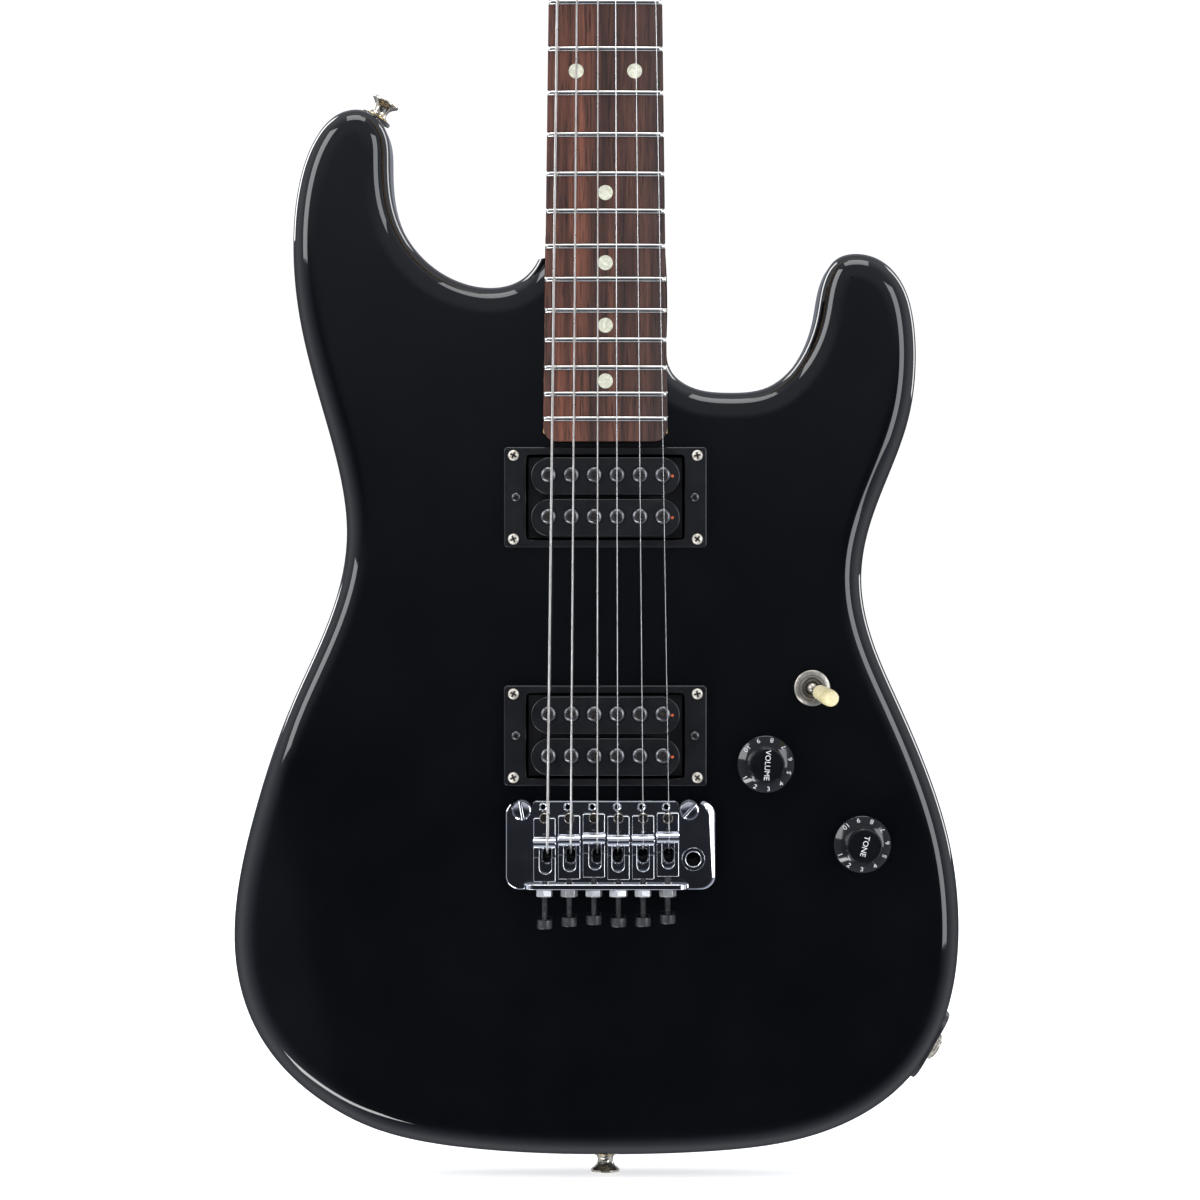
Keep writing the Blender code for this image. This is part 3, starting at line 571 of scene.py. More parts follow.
def rosewood():
    """Dark streaked rosewood with open pores along the grain."""
    n = Nodes("rosewood")
    broad = n.noise(55, 5, stretch=(1.9, 1, 0.10), distortion=0.7)
    fine = n.noise(420, 4, stretch=(1.6, 1, 0.05))
    base = n.ramp(broad, (0.034, 0.0135, 0.0095), (0.150, 0.056, 0.031), 0.30, 0.68)
    streaks = n.ramp(fine, (0.48, 0.42, 0.40), (1.0, 1.0, 1.0), 0.34, 0.60)
    pores = n.noise(900, 2, stretch=(2.6, 1, 0.09))
    dark = n.ramp(pores, (0.25, 0.22, 0.22), (1.0, 1.0, 1.0), 0.36, 0.46)
    colour = n.mix(1.0, n.mix(1.0, base, streaks, "MULTIPLY"), dark, "MULTIPLY")
    # painted light and shade: the plank is painted redder and brighter along the bass side, where the
    # light falls, and darker and greyer along the treble side
    across = n.add("SeparateXYZ", Vector=n.add("TexCoord").outputs["Generated"])
    side = n.ramp(across.outputs["X"], (1.50, 1.28, 1.20), (0.54, 0.64, 0.80), 0.1, 0.95)
    colour = n.mix(1.0, colour, side, "MULTIPLY")
    rough = n.ramp(fine, 0.62, 0.42, 0.3, 0.7)
    normal = n.bump(n.ramp(pores, 0.0, 1.0, 0.36, 0.48), 0.05, 0.7)
    return n.finish(colour, rough, normal)


def maple():
    """Pale maple with growth lines, faint flecks and a thin satin lacquer."""
    n = Nodes("maple")
    lines = n.noise(42, 4, stretch=(3.2, 3.2, 0.09), distortion=0.5)
    flecks = n.noise(700, 2, stretch=(1, 1, 0.16))
    base = n.ramp(lines, (0.50, 0.305, 0.128), (0.66, 0.445, 0.215), 0.32, 0.68)
    colour = n.mix(0.35, base, n.ramp(flecks, (0.42, 0.26, 0.11), (0.72, 0.50, 0.27)))
    rough = n.ramp(lines, 0.26, 0.38)
    return n.finish(colour, rough, n.bump(flecks, 0.006))


def pearl():
    n = Nodes("pearl_dot")
    cells = n.noise(260, 3, distortion=2.0)
    colour = n.ramp(cells, (0.40, 0.40, 0.32), (0.63, 0.63, 0.50), 0.3, 0.72)
    return n.finish(colour, n.ramp(cells, 0.18, 0.32), n.bump(cells, 0.004))


def wound_wire(pitch):
    """Nickel winding: fine ridges square to the string, coloured darker between them."""
    n = Nodes(f"wound_wire_{int(pitch * 100)}")
    turns = n.ridges(math.pi / (10 * pitch * MM))
    colour = n.ramp(turns, (0.36, 0.345, 0.33), (0.88, 0.87, 0.85), 0.12, 0.6)
    stain = n.ramp(n.noise(70, 3), (0.80, 0.77, 0.73), (1.0, 1.0, 1.0))
    rough = n.ramp(n.noise(200, 3), 0.24, 0.40)
    return n.finish(n.mix(1.0, colour, stain, "MULTIPLY"), rough, n.bump(turns, 0.06, 0.8), 1.0)


def felt():
    n = Nodes("felt")
    fibres = n.noise(2200, 4, distortion=3.0)
    colour = n.ramp(fibres, (0.010, 0.010, 0.011), (0.050, 0.048, 0.050))
    n.shader.inputs["Sheen Weight"].default_value = 0.4
    return n.finish(colour, 0.95, n.bump(fibres, 0.12))


LACQUER = lacquer()
ROSEWOOD = rosewood()
MAPLE = maple()
PEARL = pearl()
FELT = felt()
CHROME = metal("chrome", (0.86, 0.87, 0.90), (0.76, 0.77, 0.80), 0.035, 0.10, 55, 0.0012)
SWITCH_NICKEL = metal("rubbed_nickel", (0.50, 0.47, 0.41), (0.28, 0.255, 0.22), 0.34, 0.52, 420, 0.006)
NICKEL = metal("aged_nickel", (0.74, 0.70, 0.61), (0.42, 0.37, 0.29), 0.14, 0.36, 240, 0.004)
STEEL = metal("machined_steel", (0.62, 0.62, 0.62), (0.40, 0.40, 0.41), 0.26, 0.44, 120, 0.010,
              (1, 1, 12), 0.85)
FRET_WIRE = metal("fret_wire", (0.78, 0.77, 0.73), (0.60, 0.58, 0.54), 0.10, 0.22, 150, 0.002)
PLAIN_WIRE = metal("plain_wire", (0.88, 0.88, 0.87), (0.72, 0.72, 0.71), 0.16, 0.28, 150, 0.001)
BRASS = metal("brass", (0.72, 0.52, 0.24), (0.50, 0.33, 0.13), 0.18, 0.38, 200, 0.004)
BLACK_SCREW = metal("black_oxide", (0.070, 0.070, 0.073), (0.030, 0.030, 0.032), 0.26, 0.42, 300,
                    metallic=0.55)
POLE_METAL = metal("pole_metal", (0.19, 0.19, 0.195), (0.10, 0.10, 0.105), 0.26, 0.42, 300)
# painted shade: a dark finish for the floors of screw recesses, where shade falls
RECESS_SHADE = plastic("recess_painted_shade", (0.012, 0.009, 0.007), (0.030, 0.022, 0.016), 0.6, 0.8)
DULL_NICKEL = metal("dull_nickel", (0.78, 0.74, 0.66), (0.50, 0.45, 0.37), 0.36, 0.55, 420, 0.006,
                    metallic=0.72)
BRONZED = metal("bronzed_steel", (0.40, 0.37, 0.32), (0.20, 0.18, 0.15), 0.12, 0.26, 400)
BLACK_METAL = plastic("black_metal", (0.010, 0.010, 0.011), (0.019, 0.019, 0.021), 0.30, 0.46,
                      2600, 0.012)
BLACK_PLASTIC = plastic("black_plastic", (0.0050, 0.0052, 0.0060), (0.0085, 0.0088, 0.0098), 0.16,
                        0.28)
KNOB_PLASTIC = plastic("knob_plastic", (0.0028, 0.0031, 0.0040), (0.0050, 0.0054, 0.0066), 0.05,
                       0.12)
COVER_PLASTIC = plastic("cover_plastic", (0.009, 0.009, 0.010), (0.017, 0.017, 0.018), 0.28, 0.44,
                        1900, 0.010)
CREAM = plastic("aged_cream", (0.56, 0.49, 0.27), (0.70, 0.64, 0.41), 0.20, 0.34)
BONE = plastic("bone", (0.64, 0.58, 0.45), (0.80, 0.76, 0.66), 0.30, 0.45)
WHITE_PAINT = plastic("white_print", (0.46, 0.46, 0.47), (0.62, 0.62, 0.62), 0.40, 0.55)
RED_WIRE = plastic("wire_enamel", (0.35, 0.05, 0.02), (0.62, 0.14, 0.05), 0.25, 0.4)
TAPE = plastic("coil_tape", (0.007, 0.007, 0.008), (0.016, 0.016, 0.017), 0.4, 0.6, 900, 0.03)
WOUND = [wound_wire(pitch) for pitch in (0.46, 0.38, 0.30)]

# ---------------------------------------------------------------- camera, light, floor

SENSOR = 36.0
PICTURE_SIDE = 1200
FOCAL_PIXELS = 3446.4
CAMERA_AT = (-2.36, -1532.85, 245.9)
CAMERA_PITCH = 0.00515

# the tent's colours along an axis of the view's direction, from -1 to 1
TENT_ALONG_Y = (
    (-1.0, (0.012, 0.013, 0.016)), (-0.85, (0.026, 0.028, 0.035)), (-0.60, (0.28, 0.31, 0.38)),
    (-0.24, (0.62, 0.68, 0.80)), (0.16, (0.98, 1.0, 1.04)), (0.48, (0.42, 0.45, 0.50)),
    (0.80, (0.10, 0.105, 0.115)), (1.0, (0.06, 0.063, 0.07)),
)
TENT_ALONG_Z = (
    (-0.16, (0.006, 0.007, 0.010)), (-0.06, (0.010, 0.011, 0.016)), (0.02, (0.062, 0.067, 0.080)),
    (0.09, (0.175, 0.185, 0.215)), (0.15, (0.33, 0.35, 0.41)), (0.30, (0.46, 0.48, 0.54)),
    (1.0, (0.46, 0.48, 0.54)),
)
# name, place, target, size, power and colour; lengths in metres
MIDDLE = (0, 0, 0.25)
LIGHTS = (
    ("key_left", (-1.9, -1.1, 1.3), MIDDLE, (0.9, 1.6), 26, (0.97, 0.98, 1.0)),
    ("fill_right", (1.62, -1.42, 0.62), MIDDLE, (0.8, 1.6), 20, (0.95, 0.97, 1.0)),
    ("top", (0, -0.4, 2.4), MIDDLE, (1.6, 1.0), 22, (1, 1, 1)),
    ("rear_left", (-1.6, 1.6, 1.5), MIDDLE, (0.5, 1.8), 22, (1, 1, 1)),
    ("rear_right", (1.7, 1.4, 1.1), MIDDLE, (0.5, 1.8), 16, (1, 1, 1)),
    ("low_left", (-0.95, -0.95, -0.95), (-0.05, 0, 0.05), (1.5, 0.22), 12, (1, 1, 1)),
)


def make_camera():
    data = bpy.data.cameras.new("camera")
    data.sensor_width = SENSOR
    data.lens = FOCAL_PIXELS / PICTURE_SIDE * SENSOR
    data.clip_start, data.clip_end = 0.01, 100
    camera = bpy.data.objects.new("camera", data)
    camera.location = Vector(CAMERA_AT) * MM
    camera.rotation_euler = (math.pi / 2 + CAMERA_PITCH, 0, 0)
    bpy.context.scene.collection.objects.link(camera)
    bpy.context.scene.camera = camera


def area_light(name, at, target, size, power, colour):
    data = bpy.data.lights.new(name, "AREA")
    data.shape = "RECTANGLE"
    data.size, data.size_y = size
    data.energy = power
    data.color = colour
    light = bpy.data.objects.new(name, data)
    light.location = at
    light.rotation_mode = "QUATERNION"
    light.rotation_quaternion = (Vector(target) - Vector(at)).to_track_quat("-Z", "Y")
    light.visible_camera = False
    bpy.context.scene.collection.objects.link(light)


def make_world():
    """A pale tent, dark in front and behind, paler upwards; the camera itself sees it white."""
    world = bpy.data.worlds.new("studio")
    bpy.context.scene.world = world
    world.use_nodes = True
    tree = world.node_tree
    new, link = tree.nodes.new, tree.links.new
    separate = new("ShaderNodeSeparateXYZ")
    link(new("ShaderNodeTexCoord").outputs["Generated"], separate.inputs[0])

    def gradient(axis, stops):
        ramp = new("ShaderNodeValToRGB")
        ramp.color_ramp.interpolation = "B_SPLINE"
        while len(ramp.color_ramp.elements) < len(stops):
            ramp.color_ramp.elements.new(0.5)
        for element, (at, colour) in zip(ramp.color_ramp.elements, stops):
            element.position = 0.5 + 0.5 * at
            element.color = (*colour, 1)
        shift = new("ShaderNodeMath")
        shift.operation = "MULTIPLY_ADD"
        shift.inputs[1].default_value = 0.5
        shift.inputs[2].default_value = 0.5
        link(separate.outputs[axis], shift.inputs[0])
        link(shift.outputs[0], ramp.inputs["Fac"])
        return ramp.outputs["Color"]

    sides = gradient("Y", TENT_ALONG_Y)
    heights = gradient("Z", TENT_ALONG_Z)
    lighter = new("ShaderNodeMix")
    lighter.data_type = "RGBA"
    lighter.blend_type = "LIGHTEN"
    lighter.inputs["Factor"].default_value = 1.0
    link(sides, lighter.inputs[6])
    link(heights, lighter.inputs[7])
    background = tree.nodes["Background"]
    link(lighter.outputs[2], background.inputs["Color"])
    backdrop = new("ShaderNodeBackground")
    backdrop.inputs["Color"].default_value = (1, 1, 1, 1)
    backdrop.inputs["Strength"].default_value = 1.05
    choose = new("ShaderNodeMixShader")
    link(new("ShaderNodeLightPath").outputs["Is Camera Ray"], choose.inputs["Fac"])
    link(background.outputs[0], choose.inputs[1])
    link(backdrop.outputs[0], choose.inputs[2])
    link(choose.outputs[0], tree.nodes["World Output"].inputs["Surface"])


def make_floor():
    bm = bmesh.new()
    for x, y in ((-6, -6), (6, -6), (6, 6), (-6, 6)):
        bm.verts.new((x, y, 0))
    bm.faces.new(bm.verts)
    floor = mesh_object("floor", bm)
    floor.location.z = -0.0005
    n = Nodes("floor")
    colour = n.ramp(n.noise(3, 3), (0.90, 0.90, 0.90), (0.93, 0.93, 0.93))
    n.finish(colour, 0.9)
    n.shader.inputs["Emission Color"].default_value = (1, 1, 1, 1)
    n.shader.inputs["Emission Strength"].default_value = 0.55
    floor.data.materials.append(n.material)
    floor.visible_glossy = False
    floor.visible_shadow = False


def make_stage():
    make_camera()
    make_world()
    make_floor()
    for light in LIGHTS:
        area_light(*light)
    bpy.context.scene.view_settings.view_transform = "Standard"


# ---------------------------------------------------------------- body


def eased(depth, width):
    """Zero below -width, depth itself above width, and a smooth curve between them."""
    t = np.clip(depth / width, -1, 1)
    return np.where(depth > width, depth, width * (1 + t) ** 3 * (3 - t) / 16)


def forearm_depth(x, z):
    """How far the forearm contour's plane lies behind the front face."""
    return (FOREARM_X - x) * FOREARM_SLOPES[0] + (FOREARM_Z - z) * FOREARM_SLOPES[1]


def front_height(x, z):
    """y of the front face, which the forearm contour planes down on the bass side."""
    return TOP + eased(forearm_depth(x, z), FOREARM_EASE)


def back_height(x, z):
    """y of the back face, which the belly contour hollows at the bass waist."""
    out = np.hypot((x - BELLY_X) * 1.02, z - BELLY_Z)
    depth = BELLY_DEPTH - out**2 / 1400 + (BELLY_X - x) * 0.25
    return BACK - eased(depth, BELLY_EASE)


def front_is_curved(x, z):
    return forearm_depth(x, z) > -1.5 * FOREARM_EASE


def back_is_curved(x, z):
    return x < 20 and 130 < z < 460


def rim_widths(outline):
    """How wide the roundover can be at each point without folding over itself."""
    along = np.roll(outline, -1, 0) - outline
    heading = np.unwrap(np.arctan2(along[:, 1], along[:, 0]))
    turning = np.abs(np.diff(heading, append=heading[0] + round(heading[-1] - heading[0])))
    spans = np.linalg.norm(along, axis=1)
    tightest = 0.8 * spans / np.maximum(turning, 1e-3)
    widths = np.minimum(ROUNDOVER, np.maximum(tightest, 0.6 * ROUNDOVER))
    for _ in range(20):
        widths = (np.roll(widths, 1) + widths + np.roll(widths, -1)) / 3
    return widths


def face_mesh(ring, height, curved, spacing):
    """Points and triangles that fill a ring in (x, z), with extra points where the face is curved."""
    lo, hi = ring.min(0), ring.max(0)
    grid = [(x, z) for x in np.arange(lo[0], hi[0], spacing) for z in np.arange(lo[1], hi[1], spacing)
            if curved(x, z)]
    n = len(ring)
    points = [Vector(p) for p in ring] + [Vector(p) for p in grid]
    edges = [(i, (i + 1) % n) for i in range(n)]
    verts, _, faces, origin, _, _ = delaunay_2d_cdt(points, edges, [list(range(n))], 1, 1e-5)
    return [(v[0], float(height(v[0], v[1])), v[1]) for v in verts], faces


def body_solid():
    """Two faces, each with its quarter-round rim, before anything is routed out of them."""
    outline = closed_spline(BODY_OUTLINE, 7)
    normals = inward_normals(outline)
    widths = rim_widths(outline)
    steps = 11
    bm = bmesh.new()
    rows = []
    for height, side in ((front_height, 1), (back_height, -1)):
        arc = []
        for k in range(-1, steps + 1):
            a = math.pi / 2 * (1 - max(k, 0) / steps)
            extra = 1.6 if k < 0 else 0.0
            inset = outline + normals * (widths * (1 - math.cos(a)) + extra)[:, None]
            y = height(inset[:, 0], inset[:, 1]) + side * ROUNDOVER * (1 - math.sin(a))
            arc.append((inset, y))
        rows += arc if side == 1 else arc[::-1]
    rings = [[bm.verts.new((p[0], y, p[1])) for p, y in zip(inset, ys)] for inset, ys in rows]
    join_rings(bm, rings)
    for ring, (inset, _), height, curved in (
        (rings[0], rows[0], front_height, front_is_curved),
        (rings[-1], rows[-1], back_height, back_is_curved),
    ):
        points, faces = face_mesh(inset, height, curved, 5.0)
        known = {(round(v.co.x, 3), round(v.co.z, 3)): v for v in ring}
        made = []
        for p in points:
            key = (round(p[0], 3), round(p[2], 3))
            made.append(known.get(key) or bm.verts.new(p))
        for face in faces:
            bm.faces.new([made[i] for i in face])
    bmesh.ops.recalc_face_normals(bm, faces=bm.faces)
    return bm


def tilted_slab(point, normal, across):
    return placed(box(-across, across, -across, across, 0, across), point, normal)


def neck_bolts():
    return [(x, z) for x in (-19, 19) for z in (342, 391)]


def make_body():
    wide = fretboard_half(HEEL_END_Z) + 0.25
    narrow = fretboard_half(POCKET_END_Z) + 0.25
    pocket = [(-wide, HEEL_END_Z - 0.3), (wide, HEEL_END_Z - 0.3), (narrow, 415), (-narrow, 415)]
    control = closed_spline(CONTROL_CAVITY, 8)
    cutters = [
        # the neck pocket: its end, its open treble corner and its floor
        box(-45, 45, AHEAD, BEYOND, POCKET_END_Z, 440),
        box(20, 40, AHEAD, POCKET_FLOOR, 357, 415),
        prism(pocket, AHEAD, POCKET_FLOOR),
        # room for the vibrato block in front and behind, and for the springs
        box(-39, 47, AHEAD, 0, 127.5, 157),
        box(-39, 47, -5, BEYOND, 121, 157),
        box(-31, 31, 5.2, BEYOND, 150, 256),
        # the control cavity and the ledge for its cover
        prism(control, TOP + 7, BEYOND),
        prism(offset_outline(control, 6.4), BACK - 2.2, BEYOND),
        tilted_slab(jack_point(0), jack_direction(), 19),
        rod(jack_point(-34), jack_point(10), 10.2, 32),
    ]
    for z in PICKUP_Z.values():
        cutters.append(box(-36.5, 36.5, AHEAD, TOP + 22, z - 20.5, z + 20.5))
    for x in (-STUD_X, STUD_X):
        cutters.append(drill(x, STUD_Z, STUD_HEAD_RADIUS + 0.3, TOP + 19, 32))
    for x, z in (VOLUME_AT, TONE_AT, SWITCH_AT):
        cutters.append(drill(x, z, POT_HOLE_RADIUS))
    body = piece("body_lacquered", cut(body_solid(), *cutters), LACQUER, replaces=["body"],
                 sharp=40)
    # the carved contours look smoother with a little less weight on the flat faces
    weighted = body.modifiers.new("carved", "WEIGHTED_NORMAL")
    weighted.keep_sharp = True
    weighted.weight = 80


# ---------------------------------------------------------------- neck


def neck_ring(z, left, right, front, back, front_round, back_x, back_y):
    """One section of the neck: corners rounded by front_round in front, back_x by back_y behind."""
    ring = []
    corners = ((right, back, -1, -1, back_x, back_y, 14), (left, back, 1, -1, back_x, back_y, 14),
               (left, front, 1, 1, front_round, front_round, 4),
               (right, front, -1, 1, front_round, front_round, 4))
    for index, (x, y, sx, sy, rx, ry, count) in enumerate(corners):
        for k in range(count + 1):
            a = math.pi / 2 * k / count
            across, deep = (math.cos(a), math.sin(a)) if index in (0, 2) else (math.sin(a), math.cos(a))
            ring.append((x + sx * rx * (1 - across), y + sy * ry * (1 - deep), z))
    return ring


def edge_x(table, z):
    zs, xs = zip(*table)
    return float(np.interp(z, zs, xs))


def make_neck():
    """Heel, shaft and headstock as one loft, drilled for the posts."""
    bass, treble = smooth_curve(HEAD_BASS, 8), smooth_curve(HEAD_TREBLE, 8)
    heel = POCKET_FLOOR - 0.15
    # z, y of the back, and how wide and how deep its corners are rounded
    stations = [(HEEL_END_Z, heel, 1.2, 1.2), (340, heel, 1.5, 1.5), (POCKET_END_Z - 6, heel, 2, 2),
                (406, heel - 0.2, 5, 4), (414, heel - 1.4, 14, 9), (424, -8.6, 21, 13),
                (440, -8.9, 23.5, 15), (474, -9.1, 24, 15.6), (620, -9.9, 22, 14.9),
                (740, -10.6, 20, 14.2), (775, -10.8, 19, 14), (787, -10.4, 16, 12),
                (797, -9.7, 9, 8), (808, -9.1, 4, 4), (820, -9.0, 2.5, 2.5),
                (HEAD_END_Z, -9.0, 2.5, 2.5)]
    zs = sorted({*[s[0] for s in stations], *np.arange(430, 780, 24), *np.arange(784, HEAD_END_Z, 2.5)})
    columns = list(zip(*stations))
    rings = []
    for z in zs:
        back, rx, ry = (float(np.interp(z, columns[0], column)) for column in columns[1:])
        half = fretboard_half(min(z, NUT_Z))
        left = -half if z <= HEAD_START_Z else edge_x(bass, z)
        right = half if z <= HEAD_START_Z else edge_x(treble, z)
        drop = float(np.clip((z - 803.5) / 16, 0, 1))
        front = NECK_FRONT + (HEAD_FRONT - NECK_FRONT) * drop * drop * (3 - 2 * drop)
        front_round = float(np.interp(z, [790, 812], [0.05, 1.8]))
        rings.append(neck_ring(z, left, right, front, back, front_round, rx, ry))
    for inset, up in ((2.0, 2.0), (5.5, 3.0)):
        left, right = edge_x(bass, HEAD_END_Z) + inset, edge_x(treble, HEAD_END_Z) - inset
        front, back = HEAD_FRONT + up * 0.4, HEAD_BACK - up * 0.4
        rings.append(neck_ring(HEAD_END_Z + up, left, right, front, back, 1.8, 2.5, 2.5))
    cutters = [drill(*post_at(i), POST_RADIUS + 1.2, 10) for i in range(6)]
    piece("neck_maple", cut(loft(rings), *cutters), MAPLE, replaces=["neck"], sharp=42)


def make_fretboard():
    rounding = 6.5  # how far up from the end its corners are rounded
    ups = [0, 0.35, 1.1, 2.4, 4.2, rounding, *np.linspace(20, NUT_Z - 0.2 - FRETBOARD_END_Z, 24)]
    rings = []
    for up in ups:
        z = FRETBOARD_END_Z + up
        half = fretboard_half(z)
        if up < rounding:
            half -= 6.0 * (1 - math.sqrt(1 - (1 - up / rounding) ** 2)) * 0.95
        ring = []
        for k in range(17):
            x = half * (k / 8 - 1)
            roll = 0.35 * max(0, abs(k / 8 - 1) - 0.93) / 0.07
            ring.append((x, FRETBOARD_TOP + crown_y(x) + roll, z))
        rings.append(ring + [(half, FRETBOARD_BOTTOM, z), (-half, FRETBOARD_BOTTOM, z)])
    piece("fretboard_rosewood", loft(rings), ROSEWOOD, replaces=["fretboard"], sharp=50)
    for number in range(1, FRETS + 1):
        make_fret(number)
    dots = [(number, 0) for number in INLAID_FRETS if number != 12] + [(12, -12.75), (12, 12.75)]
    for index, (number, x) in enumerate(dots):
        dot = turned([(3.25, -1.2), (3.25, 0.02), (3.1, 0.05), (1.6, 0.06)], 40)
        at = (x, FRETBOARD_TOP + crown_y(x), between_frets(number))
        dot = placed(dot, at, (math.sin(x / FRETBOARD_RADIUS), -1, 0))
        piece(f"inlay_dot_{index + 1}", dot, PEARL)
    for index, number in enumerate(INLAID_FRETS):
        z = between_frets(number)
        half = fretboard_half(z)
        dot = rod((-half - 0.04, FRETBOARD_TOP + 3.4, z), (-half + 0.5, FRETBOARD_TOP + 3.4, z), 1.0, 20)
        piece(f"side_dot_{index + 1}", dot, BONE)


def make_fret(number):
    """A crowned wire pressed into the board, its ends filed to a bevel."""
    z = fret_z(number)
    half = fretboard_half(z)
    rings = []
    # where its sections stand: a share of the half width, and a length inwards of that
    spans = [(-1, 0.0), (-1, 0.45), (-0.97, 0.0)] + [(k / 8, 0.0) for k in range(-7, 8)]
    spans += [(0.97, 0.0), (1, -0.45), (1, 0.0)]
    for index, (share, inset) in enumerate(spans):
        x = share * half + inset
        low = 0.25 if index in (0, len(spans) - 1) else 0.75 if index in (1, len(spans) - 2) else 1.0
        ring = []
        for k in range(9):
            a = math.pi * k / 8
            y = FRETBOARD_TOP + crown_y(x) - FRET_HEIGHT * low * math.sin(a) ** 0.8
            ring.append((x, y, z + 1.15 * math.cos(a)))
        base = FRETBOARD_TOP + crown_y(x) + 1.0
        rings.append(ring + [(x, base, z - 0.4), (x, base, z + 0.4)])
    piece(f"fret_{number}", loft(rings), FRET_WIRE, sharp=60)


# ---------------------------------------------------------------- screws and lettering


def screw(radius, height, drive="cross", shank=3.0, cap=False):
    """A screw about +Z, its head standing on z = 0, and a dark disc of painted shade on the floor of its
    cross, slot or hex.
    """
    core = 0.55 * radius
    if cap:
        head = [(radius, 0), (radius, 0.75 * height), (radius - 0.25 * height, height)]
    else:
        head = [(radius, 0), (radius, 0.25 * height), (0.93 * radius, 0.6 * height),
                (0.74 * radius, 0.86 * height), (0.4 * radius, height)]
    blank = turned([(core, -shank), (core, 0)] + head, 32)
    floor = height * 0.3

    def recess(low, high):
        if drive == "hex":
            return [turned([(0.48 * radius, low), (0.48 * radius, high)], 6)]
        if drive == "slot":
            return [box(-0.15 * radius, 0.15 * radius, -0.9 * radius, 0.9 * radius, low, high)]
        arm, half = 0.62 * radius, 0.16 * radius
        return [box(-half, half, -arm, arm, low, high), box(-arm, arm, -half, half, low, high)]

    # the second mesh is a dark disc on the recess floor that carries the painted shade
    return cut(blank, *recess(floor, height + 2)), gathered(*recess(floor - 0.1, floor + 0.04))


def screws(name, parts, places, direction, material, body="guitar",
           spins=(0.4, 1.1, 0.9, 0.2)):
    """Copies of one screw at several places, each turned a little differently."""
    spread = [pose(at, direction, spins[k % len(spins)]) for k, at in enumerate(places)]
    # the recess floors take the dark painted shade finish
    for suffix, part, finish in zip(("", "_recess"), parts, (material, RECESS_SHADE)):
        copies = [copied(part, where) for where in spread]
        piece(name + suffix, gathered(*copies), finish, body)
        part.free()


def threaded(start, end, radius, pitch, sides=14):
    """A rod between two points with thread ridges round it."""
    along = Vector(end) - Vector(start)
    count = int(along.length / pitch)
    root = radius - 0.4 * pitch
    profile = [(root, 0)]
    for k in range(count):
        profile += [(radius, (k + 0.4) * pitch), (root, (k + 0.9) * pitch)]
    profile.append((root, along.length))
    return placed(turned(profile, sides), start, along)


def lettering(text, size, at, reading, upward):
    """Flat raised characters: reading and upward are the directions of a line and of a letter's top."""
    curve = bpy.data.curves.new("text", "FONT")
    curve.body = text
    curve.size = size
    curve.extrude = 0.02
    curve.align_x, curve.align_y = "CENTER", "CENTER"
    curve.resolution_u = 3
    thing = bpy.data.objects.new("text", curve)
    bpy.context.scene.collection.objects.link(thing)
    bpy.context.view_layer.update()
    mesh = bpy.data.meshes.new_from_object(thing.evaluated_get(bpy.context.evaluated_depsgraph_get()))
    bm = bmesh.new()
    bm.from_mesh(mesh)
    bpy.data.objects.remove(thing)
    bpy.data.meshes.remove(mesh)
    x, y = Vector(reading).normalized(), Vector(upward).normalized()
    turn = Matrix((x, y, x.cross(y))).transposed().to_4x4()
    bm.transform(Matrix.Translation(at) @ turn)
    return bm


# ---------------------------------------------------------------- neck fittings


def make_neck_fittings():
    """The nut with a slot for each string, and the plate and bolts behind the heel."""
    top = NUT_CREST_Y - 0.75
    rings = []
    for k in range(25):
        x = -21.2 + 42.4 * k / 24
        y = top + 0.8 * crown_y(x)
        section = [(NUT_Z, NECK_FRONT - 0.1), (NUT_Z, y + 0.35), (NUT_Z + 0.5, y),
                   (NUT_Z + 2.0, y + 0.1), (NUT_Z + 3.4, y + 0.9), (NUT_Z + 4, y + 2.0),
                   (NUT_Z + 4, NECK_FRONT - 0.1)]
        rings.append([(x, b, a) for a, b in section])
    slots = []
    for x, r in zip(NUT_STRING_X, STRING_RADII):
        level = NUT_CREST_Y - 0.3 - r
        slots.append(rod((x, level, NUT_Z - 2), (x, level, NUT_Z + 6), r + 0.06, 16))
        slots.append(box(x - r - 0.05, x + r + 0.05, level - 4, level, NUT_Z - 2, NUT_Z + 6))
    piece("nut_slotted", cut(loft(rings), *slots), BONE, replaces=["nut"], bevel=0.12)
    plate = soft_prism(rounded_rectangle(-25.5, 25.5, 334.5, 398.5, 4), BACK + 1.9, BACK + 0.02, 0.6)
    piece("neck_plate_polished", plate, CHROME, replaces=["neck_plate"])
    places = [(x, BACK + 1.85, z) for x, z in neck_bolts()]
    screws("neck_plate_screws", screw(4.3, 2.2, shank=8), places, BEHIND, CHROME)


# ---------------------------------------------------------------- pickups

POLE_PITCH = 9.98
POLE_X = [0.1 + (k - 2.5) * POLE_PITCH for k in range(6)]
POLE_OFFSET_Z = 0.5


